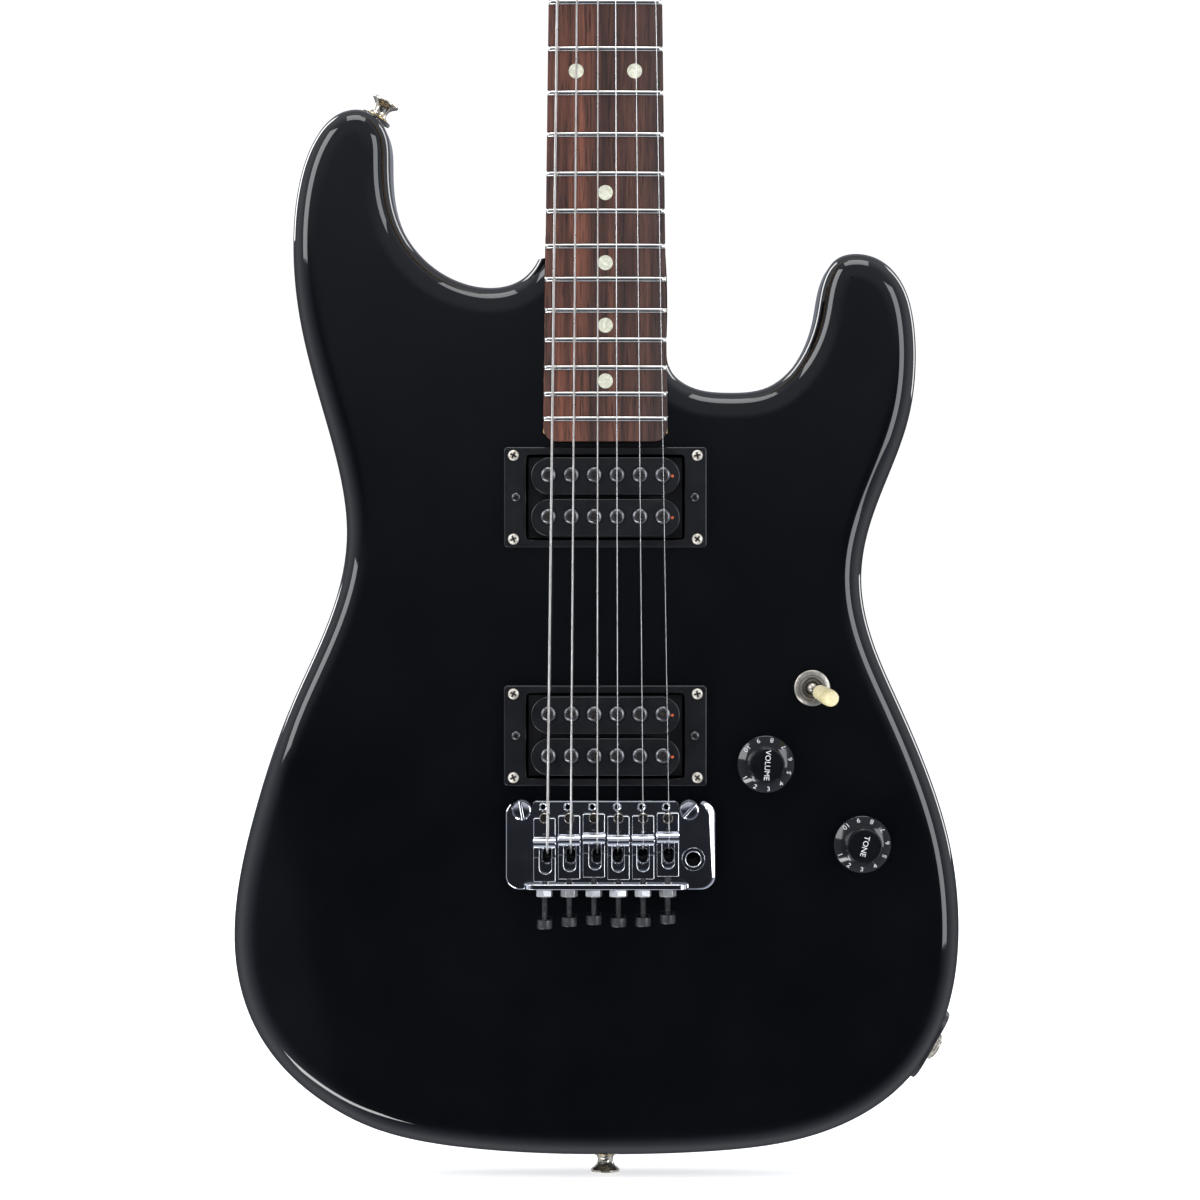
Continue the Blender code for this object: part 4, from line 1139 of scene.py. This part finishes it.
def make_pickup(name):
    """A humbucker without a cover: its ring, two bobbins with coils and pole screws, and its screws."""
    z = PICKUP_Z[name]
    body = f"{name}_pickup"
    dx, dz = RING_HALF
    ring = soft_prism(rounded_rectangle(-dx, dx, z - dz, z + dz, 1.6), RING_TOP, TOP - 0.02, 0.7)
    hx, hz = RING_OPENING_HALF
    ring = cut(ring, prism(rounded_rectangle(-hx, hx, z - hz, z + hz, 2.0), AHEAD, 0))
    piece(f"pickup_ring_{name}_moulded", ring, BLACK_PLASTIC, replaces=[f"pickup_ring_{name}"],
          bevel=0.18)
    corners = [(x, RING_TOP, z + up) for x in (-40.2, 40.2) for up in (-18.3, 18.3)]
    screws(f"pickup_ring_{name}_screws", screw(2.4, 1.2), corners, FRONT, DULL_NICKEL)
    places = [(x, RING_TOP, z) for x in (-39.1, 39.1)]
    screws(f"pickup_{name}_height_screws", screw(1.95, 0.9), places, FRONT, POLE_METAL)
    bx, bz = BOBBIN_HALF
    for letter, side in (("a", 1), ("b", -1)):
        middle = z + side * BOBBIN_OFFSET
        outline = rounded_rectangle(-bx, bx, middle - bz, middle + bz, bz - 0.05, 14)
        lead_x = 29.2
        holes = [drill(lead_x, middle, 0.8, BOBBIN_TOP + 0.8, 20, BOBBIN_TOP - 1)]
        holes += [drill(x, middle + POLE_OFFSET_Z, 3.75, BOBBIN_TOP + 0.35, 32, BOBBIN_TOP - 1)
                  for x in POLE_X]
        flange = cut(soft_prism(outline, BOBBIN_TOP, BOBBIN_TOP + 1.8, 0.55), *holes)
        foot = prism(outline, BOBBIN_BOTTOM - 1.4, BOBBIN_BOTTOM)
        piece(f"pickup_{name}_bobbin_{letter}_shell", gathered(flange, foot), BLACK_PLASTIC, body,
              [f"pickup_{name}_bobbin_{letter}"], bevel=0.12)
        coil = prism(offset_outline(np.array(outline), -0.9), BOBBIN_TOP + 1.7, BOBBIN_BOTTOM - 1.3)
        piece(f"pickup_{name}_coil_{letter}", coil, TAPE, body)
        wire = turned([(0.75, 0), (0.75, 0.4), (0.4, 0.6)], 20)
        wire = placed(wire, (lead_x, BOBBIN_TOP + 0.8, middle), FRONT)
        piece(f"pickup_{name}_lead_{letter}", wire, RED_WIRE, body)
        places = [(x, BOBBIN_TOP + 0.3, middle + POLE_OFFSET_Z) for x in POLE_X]
        head = [(3.45, -2.0), (3.45, 0.35), (3.32, 0.66), (2.95, 1.02), (2.45, 1.30), (2.0, 1.42),
                (1.7, 1.40)]
        # the second mesh is a disc on the hex recess floor, which screws() gives the dark painted shade
        pole = (cut(turned(head, 40), turned([(1.5, 0.5), (1.5, 3)], 6)),
                turned([(1.5, 0.4), (1.5, 0.55)], 6))
        screws(f"pickup_{name}_poles_{letter}", pole, places, FRONT, POLE_METAL, body,
               (0.3, 0.9, 0.1, 0.6, 0.75, 0.5))


# ---------------------------------------------------------------- vibrato bridge


def notch(x):
    """The plate's open knife-edge notch round a pivot stud, with flared curved sides."""
    outline = []
    for side in (1, -1):
        edge = []
        for k in range(9):
            a = math.pi / 2 * k / 8
            edge.append((x + side * (4.6 + 2.4 * (1 - math.cos(a))), 163.6 + 2.35 * math.sin(a)))
        edge.append((x + side * 7.0, 168))
        edge = [(x + side * 3.2, STUD_Z), (x + side * 4.5, 162.6)] + edge
        outline += edge if side == 1 else edge[::-1]
    return prism(outline, AHEAD, 0)


def string_well(x):
    """Outline of the long hole that a string drops into behind its saddle."""
    return rounded_rectangle(x - WELL_HALF_WIDTH, x + WELL_HALF_WIDTH, *WELL_Z, 2.05, 8)


def make_bridge_plate():
    """The plate with its wells, eyelets and notches, the lip that the saddle screws pass, the clamps."""
    corners = np.array(rounded_rectangle(*PLATE_X, *PLATE_Z, 6, 14))
    outline = []
    for start, end in zip(corners, np.roll(corners, -1, axis=0)):
        count = max(1, int(np.hypot(*(end - start)) / 2.5))
        outline += [start + (end - start) * k / count for k in range(count)]
    outline = np.array(outline)
    normals = inward_normals(outline)
    # every edge is eased; the treble edge is rolled over wide, most of all at its top corner
    treble = np.clip((outline[:, 0] - 40) / 6, 0, 1)
    upper = np.clip((outline[:, 1] - 130) / 32, 0, 1)
    wide = 0.5 + treble * (0.9 + 1.9 * upper)
    slopes = ((0.04, 75), (0.08, 50), (0.38, 26), (0.38, 20), (0.12, 8))
    drop = sum(share * math.tan(math.radians(slope)) for share, slope in slopes)
    rings = [[(x, PLATE_BOTTOM, z) for x, z in outline]]
    inset = 0.0
    for share, slope in ((0.0, 0), *slopes):
        inset += share
        drop -= share * math.tan(math.radians(slope))
        moved = outline + normals * (wide * inset)[:, None]
        rings.append([(x, PLATE_TOP + w * drop, z) for (x, z), w in zip(moved, wide)])
    cutters = []
    for x in (-STUD_X, STUD_X):
        cutters += [drill(x, STUD_Z, 3.2, sides=40), notch(x)]
    eyelet_x = [saddle_x(i) - 0.6 for i in range(6)]
    for i in range(6):
        well = string_well(SADDLE_STRING_X[i])
        flare = offset_outline(np.array(well), 0.55)
        levels = ((0, well), (PLATE_TOP + 0.55, well), (PLATE_TOP - 0.02, flare), (AHEAD, flare))
        cutters.append(loft([[(x, y, z) for x, z in ring] for y, ring in levels]))
        cutters.append(drill(eyelet_x[i], EYELET_Z, 1.5, sides=28))
    cutters.append(drill(*ARM_HOLE, 5.15, sides=48))
    piece("bridge_plate_polished", cut(loft(rings), *cutters), CHROME, "vibrato",
          ["bridge_plate"], bevel=0.10)
    eyelet = [(1.2, -2.4), (1.2, 0.05), (1.45, 0.22), (1.75, 0.16), (1.95, -0.1), (1.5, -0.1),
              (1.5, -2.4)]
    eyelets = [ring_at((x, PLATE_TOP, EYELET_Z), FRONT, eyelet, 32) for x in eyelet_x]
    piece("bridge_plate_eyelets", gathered(*eyelets), CHROME, "vibrato")
    x0, x1 = LIP_X
    radius = 5.0
    corners = [(x0, PLATE_BOTTOM - 0.5), (x1, PLATE_BOTTOM - 0.5)]
    for side, x in ((1, x1 - radius), (-1, x0 + radius)):
        arc = [math.pi / 2 * k / 10 for k in range(11)][::side]
        corners += [(x + side * radius * math.cos(a), LIP_TOP + radius - radius * math.sin(a))
                    for a in arc]
    lip = loft([[(x, y, z) for x, y in corners] for z in LIP_Z])
    holes = [rod((saddle_x(i), SCREW_Y, 120), (saddle_x(i), SCREW_Y, 134), 1.9, 24) for i in range(6)]
    piece("bridge_lip", cut(lip, *holes), CHROME, "vibrato", bevel=0.55)
    places = [(saddle_x(i), -31.75, 158.7) for i in range(6)]
    clamp = screw(2.25, 1.5, "hex", shank=4.5, cap=True)
    screws("saddle_clamp_screws", clamp, places, FRONT, BRONZED, "vibrato")


def make_saddle(i):
    """Front block with its clamp slot, roller, hollow middle, slotted rear plate and its screw."""
    name = f"saddle_{i + 1}"
    x, crest = saddle_x(i), CREST_Z[i]
    bottom = PLATE_TOP - 0.05
    half = SADDLE_HALF_WIDTH - 0.25
    left, right = x - half, x + half
    front = soft_prism(rounded_rectangle(left, right, crest + 2.2, crest + 10.9, 0.75, 4),
                       -31.9, PLATE_TOP - 0.4, 0.42)
    clamp_slot = rounded_rectangle(x - 1.2, x + 1.2, crest + 3.4, crest + 16, 1.15, 8)
    front = cut(front, prism(clamp_slot, AHEAD, 0))
    cradle = box(left, right, -30.0, bottom, crest - 2.6, crest + 2.4)
    middle = x + 0.35 * (SADDLE_STRING_X[i] - x)
    well, shoulder, floor = 2.6, crest - 6.3, crest - 10.8
    cheeks = [(right, shoulder), (right, crest - 16.5), (right - 0.4, crest - 16.9),
              (left + 0.4, crest - 16.9), (left, crest - 16.5), (left, shoulder),
              (middle - well, shoulder)]
    cheeks += [(middle - well * math.cos(math.pi * k / 16), floor - well * math.sin(math.pi * k / 16))
               for k in range(17)]
    cheeks.append((middle + well, shoulder))
    rear = soft_prism(cheeks, -32.2, bottom, 0.36)
    rails = [soft_prism([(a, shoulder - 0.3), (a, crest - 1.8), (b, crest - 1.8), (b, shoulder - 0.3)],
                        -30.7, bottom, 0.3)
             for a, b in ((left, middle - well), (middle + well, right))]
    block = gathered(front, cradle, rear, *rails)
    piece(f"{name}_block", block, CHROME, name, [name])
    at = (x - SADDLE_HALF_WIDTH + 0.15, CREST_Y + ROLLER_RADIUS, crest)
    length = 2 * SADDLE_HALF_WIDTH - 0.3
    roller = turned([(1.9, 0), (ROLLER_RADIUS, 0.3), (ROLLER_RADIUS, length - 0.3), (1.9, length)], 56)
    piece(f"{name}_roller", placed(roller, at, (1, 0, 0)), CHROME, name)
    head = crest - 37.6
    shaft = threaded((x, SCREW_Y, crest - 15.4), (x, SCREW_Y, head + 3), 1.25, 0.7)
    piece(f"{name}_screw", shaft, BLACK_SCREW, name)
    cap = pinched(turned([(3.3, 0), (3.3, 3.2), (3.0, 3.8)], 40), lambda k, co: k % 2 and co.z < 3.5)
    cap = cut(cap, turned([(1.45, 2.0), (1.45, 5)], 6))
    cap = placed(cap, (x, SCREW_Y, head + 4), (0, 0, -1))
    piece(f"{name}_screw_head", cap, BLACK_SCREW, name, sharp=50)
    across = NUT_WIDTHS[i] / 2 / math.cos(math.pi / 6)
    nut = placed(turned([(across - 0.4, 0), (across, 0.35), (across, 2.95), (across - 0.4, 3.3)], 6),
                 (x, SCREW_Y, LIP_Z[0] - 3.3), (0, 0, 1), NUT_SPINS[i])
    piece(f"bridge_nut_{i + 1}", nut, STEEL, "vibrato", bevel=0.2)


def make_vibrato_underside():
    """The block below the plate, the arm's socket, the springs and the claw that holds them."""
    holes = [drill(x, STRING_HOLE_Z, 1.5, 30, 20) for x in SADDLE_STRING_X]
    holes += [prism(string_well(x), AHEAD, 6) for x in SADDLE_STRING_X]
    holes += [drill(x, STRING_HOLE_Z, 2.6, 30, 20, start=12) for x in SADDLE_STRING_X]
    holes.append(drill(*ARM_HOLE, 6.8, 30, 32))
    block = cut(box(*BLOCK_X, PLATE_BOTTOM + 0.1, BLOCK_BOTTOM, *BLOCK_Z), *holes)
    piece("inertia_block_milled", block, STEEL, "vibrato", ["inertia_block"], bevel=0.5)
    section = [(3.15, 0), (3.5, -0.25), (5.0, -0.25), (5.05, 0.3), (5.05, 2.6), (6.2, 2.9), (6.2, 24),
               (3.15, 24)]
    socket = ring_at((ARM_HOLE[0], PLATE_TOP, ARM_HOLE[1]), BEHIND, section, 56)
    piece("arm_socket_bushing", socket, CHROME, "vibrato", ["arm_socket"], bevel=0.12)
    for i, x in enumerate(SPRING_X):
        low, high = BLOCK_Z[1] + 3, CLAW_Z[0] - 4
        coil = helix((x, SPRING_Y, low), (0, 0, 1), SPRING_COIL_RADIUS, SPRING_WIRE_RADIUS,
                     high - low, 58, 6, 12)
        hooks = [rod((x, SPRING_Y, start), (x, SPRING_Y, end), SPRING_WIRE_RADIUS, 10)
                 for start, end in ((BLOCK_Z[1] - 2, low + 0.5), (high - 0.5, CLAW_Z[1] + 1.5))]
        spring = piece(f"vibrato_spring_{i + 1}_coil", gathered(coil, *hooks), NICKEL,
                       replaces=[f"vibrato_spring_{i + 1}"], ride=False)
        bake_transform(spring)
    claw = prism([(-28, CLAW_Z[0]), (28, CLAW_Z[0]), (28, CLAW_Z[1]), (-28, CLAW_Z[1])], 8, 18)
    cuts = [rod((x, SPRING_Y, 230), (x, SPRING_Y, 245), 1.1, 16) for x in SPRING_X]
    piece("spring_claw_plate", cut(claw, *cuts), STEEL, replaces=["spring_claw"],
          bevel=0.3)
    bolts = [threaded((x, SPRING_Y, CLAW_Z[1]), (x, SPRING_Y, 272), 1.9, 0.9) for x in (-14, 14)]
    piece("spring_claw_bolts", gathered(*bolts), STEEL)
    places = [(x, SPRING_Y, CLAW_Z[0]) for x in (-14, 14)]
    screws("spring_claw_heads", screw(3.4, 1.6, shank=2), places, (0, 0, -1), STEEL)


def make_covers():
    outline = rounded_rectangle(-50, 50, 112, 264, 8, 8)
    cover = soft_prism(outline, BACK + 1.9, BACK + 0.02, 0.7)
    slot = prism(rounded_rectangle(-31, 31, 133, 147, 5, 8), 0, BEYOND)
    piece("spring_cover_plate", cut(cover, slot), COVER_PLASTIC, replaces=["spring_cover"],
          bevel=0.15)
    places = [(x, BACK + 1.75, z) for x in (-44.5, 44.5) for z in (118, 188, 258)]
    screws("spring_cover_screws", screw(2.9, 1.1), places, BEHIND, NICKEL)
    outline = offset_outline(closed_spline(CONTROL_CAVITY, 8), 6.0)
    cover = soft_prism(outline, BACK - 0.1, BACK - 1.9, 0.35)
    piece("control_cover_plate", cover, COVER_PLASTIC, replaces=["control_cover"])
    places = [(x, BACK - 0.15, z) for x, z in ((62, 229), (104, 229), (131, 122), (84, 117), (61, 152))]
    screws("control_cover_screws", screw(2.7, 0.9), places, BEHIND, NICKEL)


def make_pivot_studs():
    for name, x, spin in (("bass", -STUD_X, 0.17), ("treble", STUD_X, -0.74)):
        profile = [(3.9, -18.5), (3.9, 0), (4.35, 0.1), (4.35, 1.5), (2.9, 1.6), (2.9, 6.7), (4.0, 6.8),
                   (4.2, 7.1), (4.2, 8.3), (3.9, 8.9), (3.2, 9.2), (1.5, 9.35)]
        stud = turned(profile, 56)
        slot = rod((0, -6, 9.3), (0, 6, 9.3), 0.95, 24)
        slot.transform(Matrix.Rotation(spin, 4, "Z"))
        stud = placed(cut(stud, slot), (x, TOP - 0.1, STUD_Z), FRONT)
        piece(f"pivot_stud_{name}_slotted", stud, CHROME, replaces=[f"pivot_stud_{name}"],
              bevel=0.12)


# ---------------------------------------------------------------- strings


def make_string(i):
    """From its ball in the block, up the well and over the roller, across the nut and round its post."""
    name = f"string_{i + 1}"
    r = STRING_RADII[i]
    x, crest = SADDLE_STRING_X[i], CREST_Z[i]
    bend_y = -28.5
    reach = ROLLER_RADIUS + r + 0.02
    centre_y = CREST_Y + ROLLER_RADIUS
    u, v = STRING_HOLE_Z - crest, centre_y - bend_y
    leave = math.atan2(v, u) % (2 * math.pi) - math.acos(reach / math.hypot(u, v))
    path = [(x, y, STRING_HOLE_Z) for y in (13.5, -15, bend_y)]
    for k in range(9):
        a = leave + (math.pi / 2 - leave) * k / 8
        path.append((x, centre_y - reach * math.sin(a), crest + reach * math.cos(a)))
    nut_level = NUT_CREST_Y - 0.3 - r
    start = Vector(path[-1])
    end = Vector((NUT_STRING_X[i], nut_level, NUT_Z + 0.4))
    material = WOUND[i] if i < 3 else PLAIN_WIRE
    # the end that bends over the roller reaches a little way inside the rest of the string
    path.append(tuple(start.lerp(end, (SADDLE_TRAVEL + 3) / (end.z - start.z))))
    tail = piece(f"{name}_tail", sweep(path, 0.96 * r, 12), material, sharp=80,
                 ride=False)
    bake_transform(tail)
    start = start.lerp(end, SADDLE_TRAVEL / (end.z - start.z))
    path = [tuple(start)]
    for k in range(1, 41):
        # close together over the bridge, at the vibrato end of the wire
        path.append(tuple(start.lerp(end, (k / 40) ** 1.8)))
    post_x, post_z = post_at(i)
    path.append((NUT_STRING_X[i], nut_level, NUT_Z + 3.0))
    radius = 2.75 + r
    path.append((post_x + radius, POST_STRING_Y[i], post_z))
    wire = piece(f"{name}_wire", sweep(path, r, 12), material, replaces=[name],
                 sharp=80, ride=False)
    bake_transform(wire)
    ball = [(1.2, -1.6), (2.2, -1.6), (2.2, 1.6), (1.2, 1.6)]
    ball = ring_at((x, 13.6, STRING_HOLE_Z), (1, 0, 0), ball, 20)
    piece(f"{name}_ball", ball, BRASS, "vibrato")
    wraps = []
    for k in range(int(WRAP_TURNS[i] * 20) + 1):
        a = 2 * math.pi * k / 20
        y = POST_STRING_Y[i] + (2 * r + 0.03) * (k / 20 - 0.05)
        wraps.append((post_x + radius * math.cos(a), y, post_z + radius * math.sin(a)))
    piece(f"{name}_wraps", sweep(wraps, r, 8), material, f"post_{i + 1}", sharp=80)


# ---------------------------------------------------------------- controls and fittings


def make_knob(name, at, word, turned_by):
    """Skirted knob with a ribbed grip, numbers round the skirt and its name on top."""
    base = 1.0  # the skirt's height off the body
    sides = 144
    origin = Vector((at[0], TOP, at[1]))
    outside = [(7.5, 0), (11.9, 0), (12.45, 0.3), (12.45, 1.2), (12.2, 1.55), (9.3, 3.25), (8.6, 3.45),
               (8.0, 3.8), (7.95, 5.1), (7.8, 12.6), (7.6, 13.4), (7.2, 13.85), (6.6, 14.0)]
    profile = [(2.9, -11), (2.9, base + 4), (7.5, base + 4)] + [(r, base + up) for r, up in outside]

    def between_ribs(_, co):
        place = round(math.atan2(co.y, co.x) / (2 * math.pi) * sides) % 3
        return base + 5 < co.z < base + 13 and 7.6 < math.hypot(co.x, co.y) < 8.2 and place == 0

    knob = pinched(turned(profile, sides), between_ribs)
    body = f"{name}_control"
    piece(f"{name}_knob_moulded", placed(knob, origin, FRONT), KNOB_PLASTIC, body, [f"{name}_knob"],
          sharp=30)
    marks = []
    slope = math.radians(30.4)
    for k in range(10):
        angle = math.radians(140 + turned_by - 32 * k)
        out = Vector((math.cos(angle), 0, math.sin(angle)))
        reading = Vector((-math.sin(angle), 0, math.cos(angle)))
        up = -out * math.cos(slope) + Vector(FRONT) * math.sin(slope)
        normal = reading.cross(up)
        centre = origin + out * 10.85 + Vector(FRONT) * (base + 2.34) + normal * 0.03
        marks.append(lettering(str(10 - k), 3.3, centre, reading, up))
    angle = math.radians(-94 + turned_by * 1.3)
    reading = (math.cos(angle), 0, math.sin(angle))
    upward = (-math.sin(angle), 0, math.cos(angle))
    top = origin + Vector(FRONT) * (base + 14.01)
    marks.append(lettering(word, 3.4, top, reading, upward))
    piece(f"{name}_knob_print", gathered(*marks), WHITE_PAINT, body)


def lever_direction():
    lean = Vector((math.cos(SWITCH_LEAN), 0, math.sin(SWITCH_LEAN)))
    return lean * math.sin(SWITCH_TILT) + Vector((0, -math.cos(SWITCH_TILT), 0))


def make_switch():
    """The selector's nut and barrel on the face, its lever and tip, and the frame inside."""
    x, z = SWITCH_AT
    nut = [(5.45, 0.02), (7.6, 0.02), (7.85, 0.25), (7.85, 1.3), (7.3, 1.75), (5.9, 2.05), (5.45, 2.0)]
    piece("switch_nut", ring_at((x, TOP, z), FRONT, nut, 64), SWITCH_NICKEL, replaces=["switch_body"])
    barrel = [(4.25, -7.6), (4.6, -7.6), (5.4, -3), (5.4, 2.4), (5.1, 2.9), (4.5, 2.9), (4.25, 2.3)]
    collar = [(2.85, -3), (2.85, 1.3), (3.05, 1.5), (3.3, 1.5), (3.4, 1.2), (3.6, 1.2), (3.7, 1.5),
              (4.0, 1.5), (4.2, 1.2), (4.2, -3)]
    rings = [ring_at((x, TOP, z), FRONT, profile, 56) for profile in (barrel, collar)]
    piece("switch_barrel", gathered(*rings), SWITCH_NICKEL)
    frame_box = box(x - 7, x + 7, TOP + 7.6, TOP + 27, z - 12, z + 12)
    piece("switch_frame", frame_box, STEEL, bevel=0.4)
    pivot = (x, TOP - 1.8, z)
    ball = [(0.8, -2.55), (1.7, -2.1), (2.3, -1.2), (2.55, 0), (2.35, 1.0), (1.9, 1.7), (1.35, 2.3),
            (1.25, 7.4)]
    ball = placed(turned(ball, 36), pivot, lever_direction())
    piece("switch_lever_ball", ball, SWITCH_NICKEL, "switch")
    tip = [(1.5, 6.6), (2.6, 6.7), (3.15, 7.3), (3.3, 9), (3.5, 13), (3.7, 16.5), (3.65, 18.5),
           (3.3, 20.2), (2.5, 21.5), (1.4, 22.1)]
    tip = placed(turned(smooth_curve(tip, 3), 40), pivot, lever_direction())
    piece("switch_tip", tip, CREAM, "switch", ["switch_lever"])


def make_jack():
    """Plate on the flat of the rim, with the socket, its spring contact, washer and nut."""
    across = Vector((0, 1, 0))
    out = jack_direction()
    up = across.cross(out)

    def around(outline, heights):
        rings = []
        for height, inset in heights:
            ring = offset_outline(np.array(outline), -inset)
            rings.append([jack_point(height) + up * a + across * b for a, b in ring])
        return loft(rings)

    outline = rounded_rectangle(-16.4, 16.4, -11, 11, 8, 10)
    plate = around(outline, ((0.02, 0), (1.5, 0), (1.95, 0.15), (2.2, 0.45), (2.3, 0.9)))
    hole = rod(jack_point(-5), jack_point(8), 5.1, 32)
    piece("jack_plate_plated", cut(plate, hole), BLACK_METAL, replaces=["jack_plate"])
    places = [jack_point(2.25) + up * a for a in (-12.4, 12.4)]
    screws("jack_plate_screws", screw(2.5, 0.9), places, out, BLACK_SCREW)
    bushing = [(3.4, -1.9), (8.6, -1.9), (8.6, -0.1), (4.75, -0.1), (4.75, 5.2), (4.3, 5.6), (3.4, 5.6)]
    socket = ring_at(jack_point(0), out, bushing)
    contact = [(-1.2, 6.4), (-1.2, 7.4), (-27.6, 7.4), (-24.4, 4.2), (-23.7, 4.9), (-25.2, 6.4)]
    edges = [[jack_point(a) + up * side + across * b for a, b in contact] for side in (-2.5, 2.5)]
    piece("output_jack_bushing", gathered(socket, loft(edges)), NICKEL, replaces=["output_jack"],
          bevel=0.1)
    washer = ring_at(jack_point(0), out, [(4.8, 2.3), (6.6, 2.3), (6.6, 2.9), (4.8, 2.9)])
    piece("output_jack_washer", washer, NICKEL, bevel=0.12)
    nut = turned([(4.8, 2.9), (6.0, 2.9), (6.2, 3.1), (6.2, 4.5), (5.9, 4.8), (4.8, 4.8)], 6, ring=True)
    nut = placed(nut, jack_point(0), out, 0.3)
    piece("output_jack_nut", nut, NICKEL, bevel=0.15)


def make_strap_button(name, at, out):
    at, out = Vector(at), Vector(out)
    pad = ring_at(at, out, [(2, -0.8), (6.9, -0.8), (7.0, 0.0), (6.7, 0.6), (2, 0.6)])
    piece(f"strap_button_{name}_felt", pad, FELT)
    disc = ring_at(at, out, [(2, 0.6), (5.3, 0.6), (5.3, 1.05), (2, 1.05)])
    piece(f"strap_button_{name}_washer", disc, BRASS, bevel=0.1)
    profile = [(4.5, 1.05), (4.6, 1.4), (3.9, 1.9), (3.4, 2.8), (3.3, 3.8), (3.6, 5.2), (4.6, 6.6),
               (5.9, 7.6), (6.3, 8.0), (6.3, 8.6), (6.0, 8.95), (4.0, 9.0)]
    button = cut(turned(profile, 56), turned([(1.6, 5.5), (1.9, 7.4), (3.4, 9.3), (3.4, 12)], 40))
    piece(f"strap_button_{name}_turned", placed(button, at, out), NICKEL,
          replaces=[f"strap_button_{name}"], bevel=0.12)
    screws(f"strap_button_{name}_screw", screw(2.7, 1.2, shank=2), [at + out * 7.2], out, NICKEL)


# ---------------------------------------------------------------- tuners


def make_tuner_housings(along, out):
    """The six cast cases behind the headstock, in one piece as packed, and their screws."""
    front = HEAD_BACK + 0.02
    cases = []
    places = []
    for i in range(6):
        x, z = post_at(i)
        at = Vector((x, 0, z))
        outlines = []
        for outline in (rounded_rectangle(-9.5, 9.5, -7.5, 8, 3.2, 8),
                        rounded_rectangle(-12.2, -5, -7, -1, 2.6, 6)):
            outlines.append([tuple((at + along * a + out * b).xz) for a, b in outline])
        case = soft_prism(outlines[0], front + 10, front, 2.2, 5)
        ear = soft_prism(outlines[1], front + 2.2, front, 0.6)
        collar = turned([(5.2, 0), (5.2, 1.0), (4.4, 1.6), (3.4, 2.6), (3.0, 3.2)], 40)
        shaft_at = at + Vector((0, TUNER_SHAFT_Y, 0)) + out * 7.2
        cases.append(gathered(case, ear, placed(collar, shaft_at, out)))
        spot = at + along * -9.6 + out * -4.2
        places.append((spot.x, front + 2.1, spot.z))
    piece("tuner_housings_cast", gathered(*cases), CHROME, replaces=["tuner_housings"])
    screws("tuner_housing_screws", screw(1.7, 0.8), places, BEHIND, CHROME)


def make_tuner(i, out):
    """One tuner's button, its post with the string's waist and slot, and the bushing round the post."""
    x, z = post_at(i)
    outside = [(2.1, 1.6), (2.0, 8.6), (2.6, 9.4), (4.4, 10.4), (5.8, 12.4), (6.7, 15), (7.0, 18),
               (6.7, 21), (5.6, 23.6), (4.2, 25.2), (2.2, 26)]
    button = turned(smooth_curve(outside, 3), 48)
    for vert in button.verts:
        vert.co.y *= 1 - 0.47 * min(max((vert.co.z - 9) / 4, 0), 1)
    button = placed(button, Vector((x, TUNER_SHAFT_Y, z)) + out * 8.3, out)
    piece(f"tuner_button_{i + 1}_cast", button, CHROME, f"tuner_{i + 1}", [f"tuner_button_{i + 1}"],
          sharp=60)
    level = -POST_STRING_Y[i]
    waist = [(3.2, -2.0), (3.0, -1.6), (2.7, -1.0), (2.7, 0.9), (3.0, 1.4), (3.2, 2.0), (3.2, 5.2),
             (2.9, 5.8), (1.6, 6.0)]
    post = turned([(3.2, -HEAD_BACK + 0.1)] + [(radius, level + up) for radius, up in waist], 40)
    eye = rod((-5, 0, level), (5, 0, level), 0.9, 16)
    slot = box(-0.5, 0.5, -5, 5, level + 4.2, level + 8)
    piece(f"tuner_post_{i + 1}_turned", placed(cut(post, eye, slot), (x, 0, z), FRONT), CHROME,
          f"post_{i + 1}", [f"tuner_post_{i + 1}"], bevel=0.1)
    bushing = [(3.35, -4), (4.3, -4), (4.3, 0), (6.3, 0), (6.3, 0.5), (5.4, 0.9), (5.2, 2.0), (4.6, 2.3),
               (3.35, 2.3)]
    bushing = [(radius, up - HEAD_FRONT) for radius, up in bushing]
    piece(f"tuner_bushing_{i + 1}", ring_at((x, 0, z), FRONT, bushing), CHROME)


def finish_carried_nodes():
    """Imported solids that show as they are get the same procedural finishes."""
    finishes = {"pickup_neck_base": BLACK_METAL, "pickup_bridge_base": BLACK_METAL, "truss_rod": STEEL,
                "volume_pot": NICKEL, "tone_pot": NICKEL}
    for name, material in finishes.items():
        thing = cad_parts[name]
        thing.data.materials.clear()
        thing.data.materials.append(material)


make_stage()
make_body()
make_neck()
make_fretboard()
make_neck_fittings()
for pickup in PICKUP_Z:
    make_pickup(pickup)
make_bridge_plate()
for index in range(6):
    make_saddle(index)
    make_string(index)
make_vibrato_underside()
make_covers()
make_pivot_studs()
make_knob("volume", VOLUME_AT, "VOLUME", 0)
make_knob("tone", TONE_AT, "TONE", -8)
make_switch()
make_jack()
make_strap_button("end", (0, 0, END_BUTTON_BASE_Z), (0, 0, -1))
make_strap_button("horn", (HORN_BUTTON_BASE[0], 0, HORN_BUTTON_BASE[1]),
                  (math.cos(HORN_BUTTON_LEAN), 0, math.sin(HORN_BUTTON_LEAN)))
along_row, out_of_row = post_line()
make_tuner_housings(along_row, out_of_row)
for index in range(6):
    make_tuner(index, out_of_row)
finish_carried_nodes()
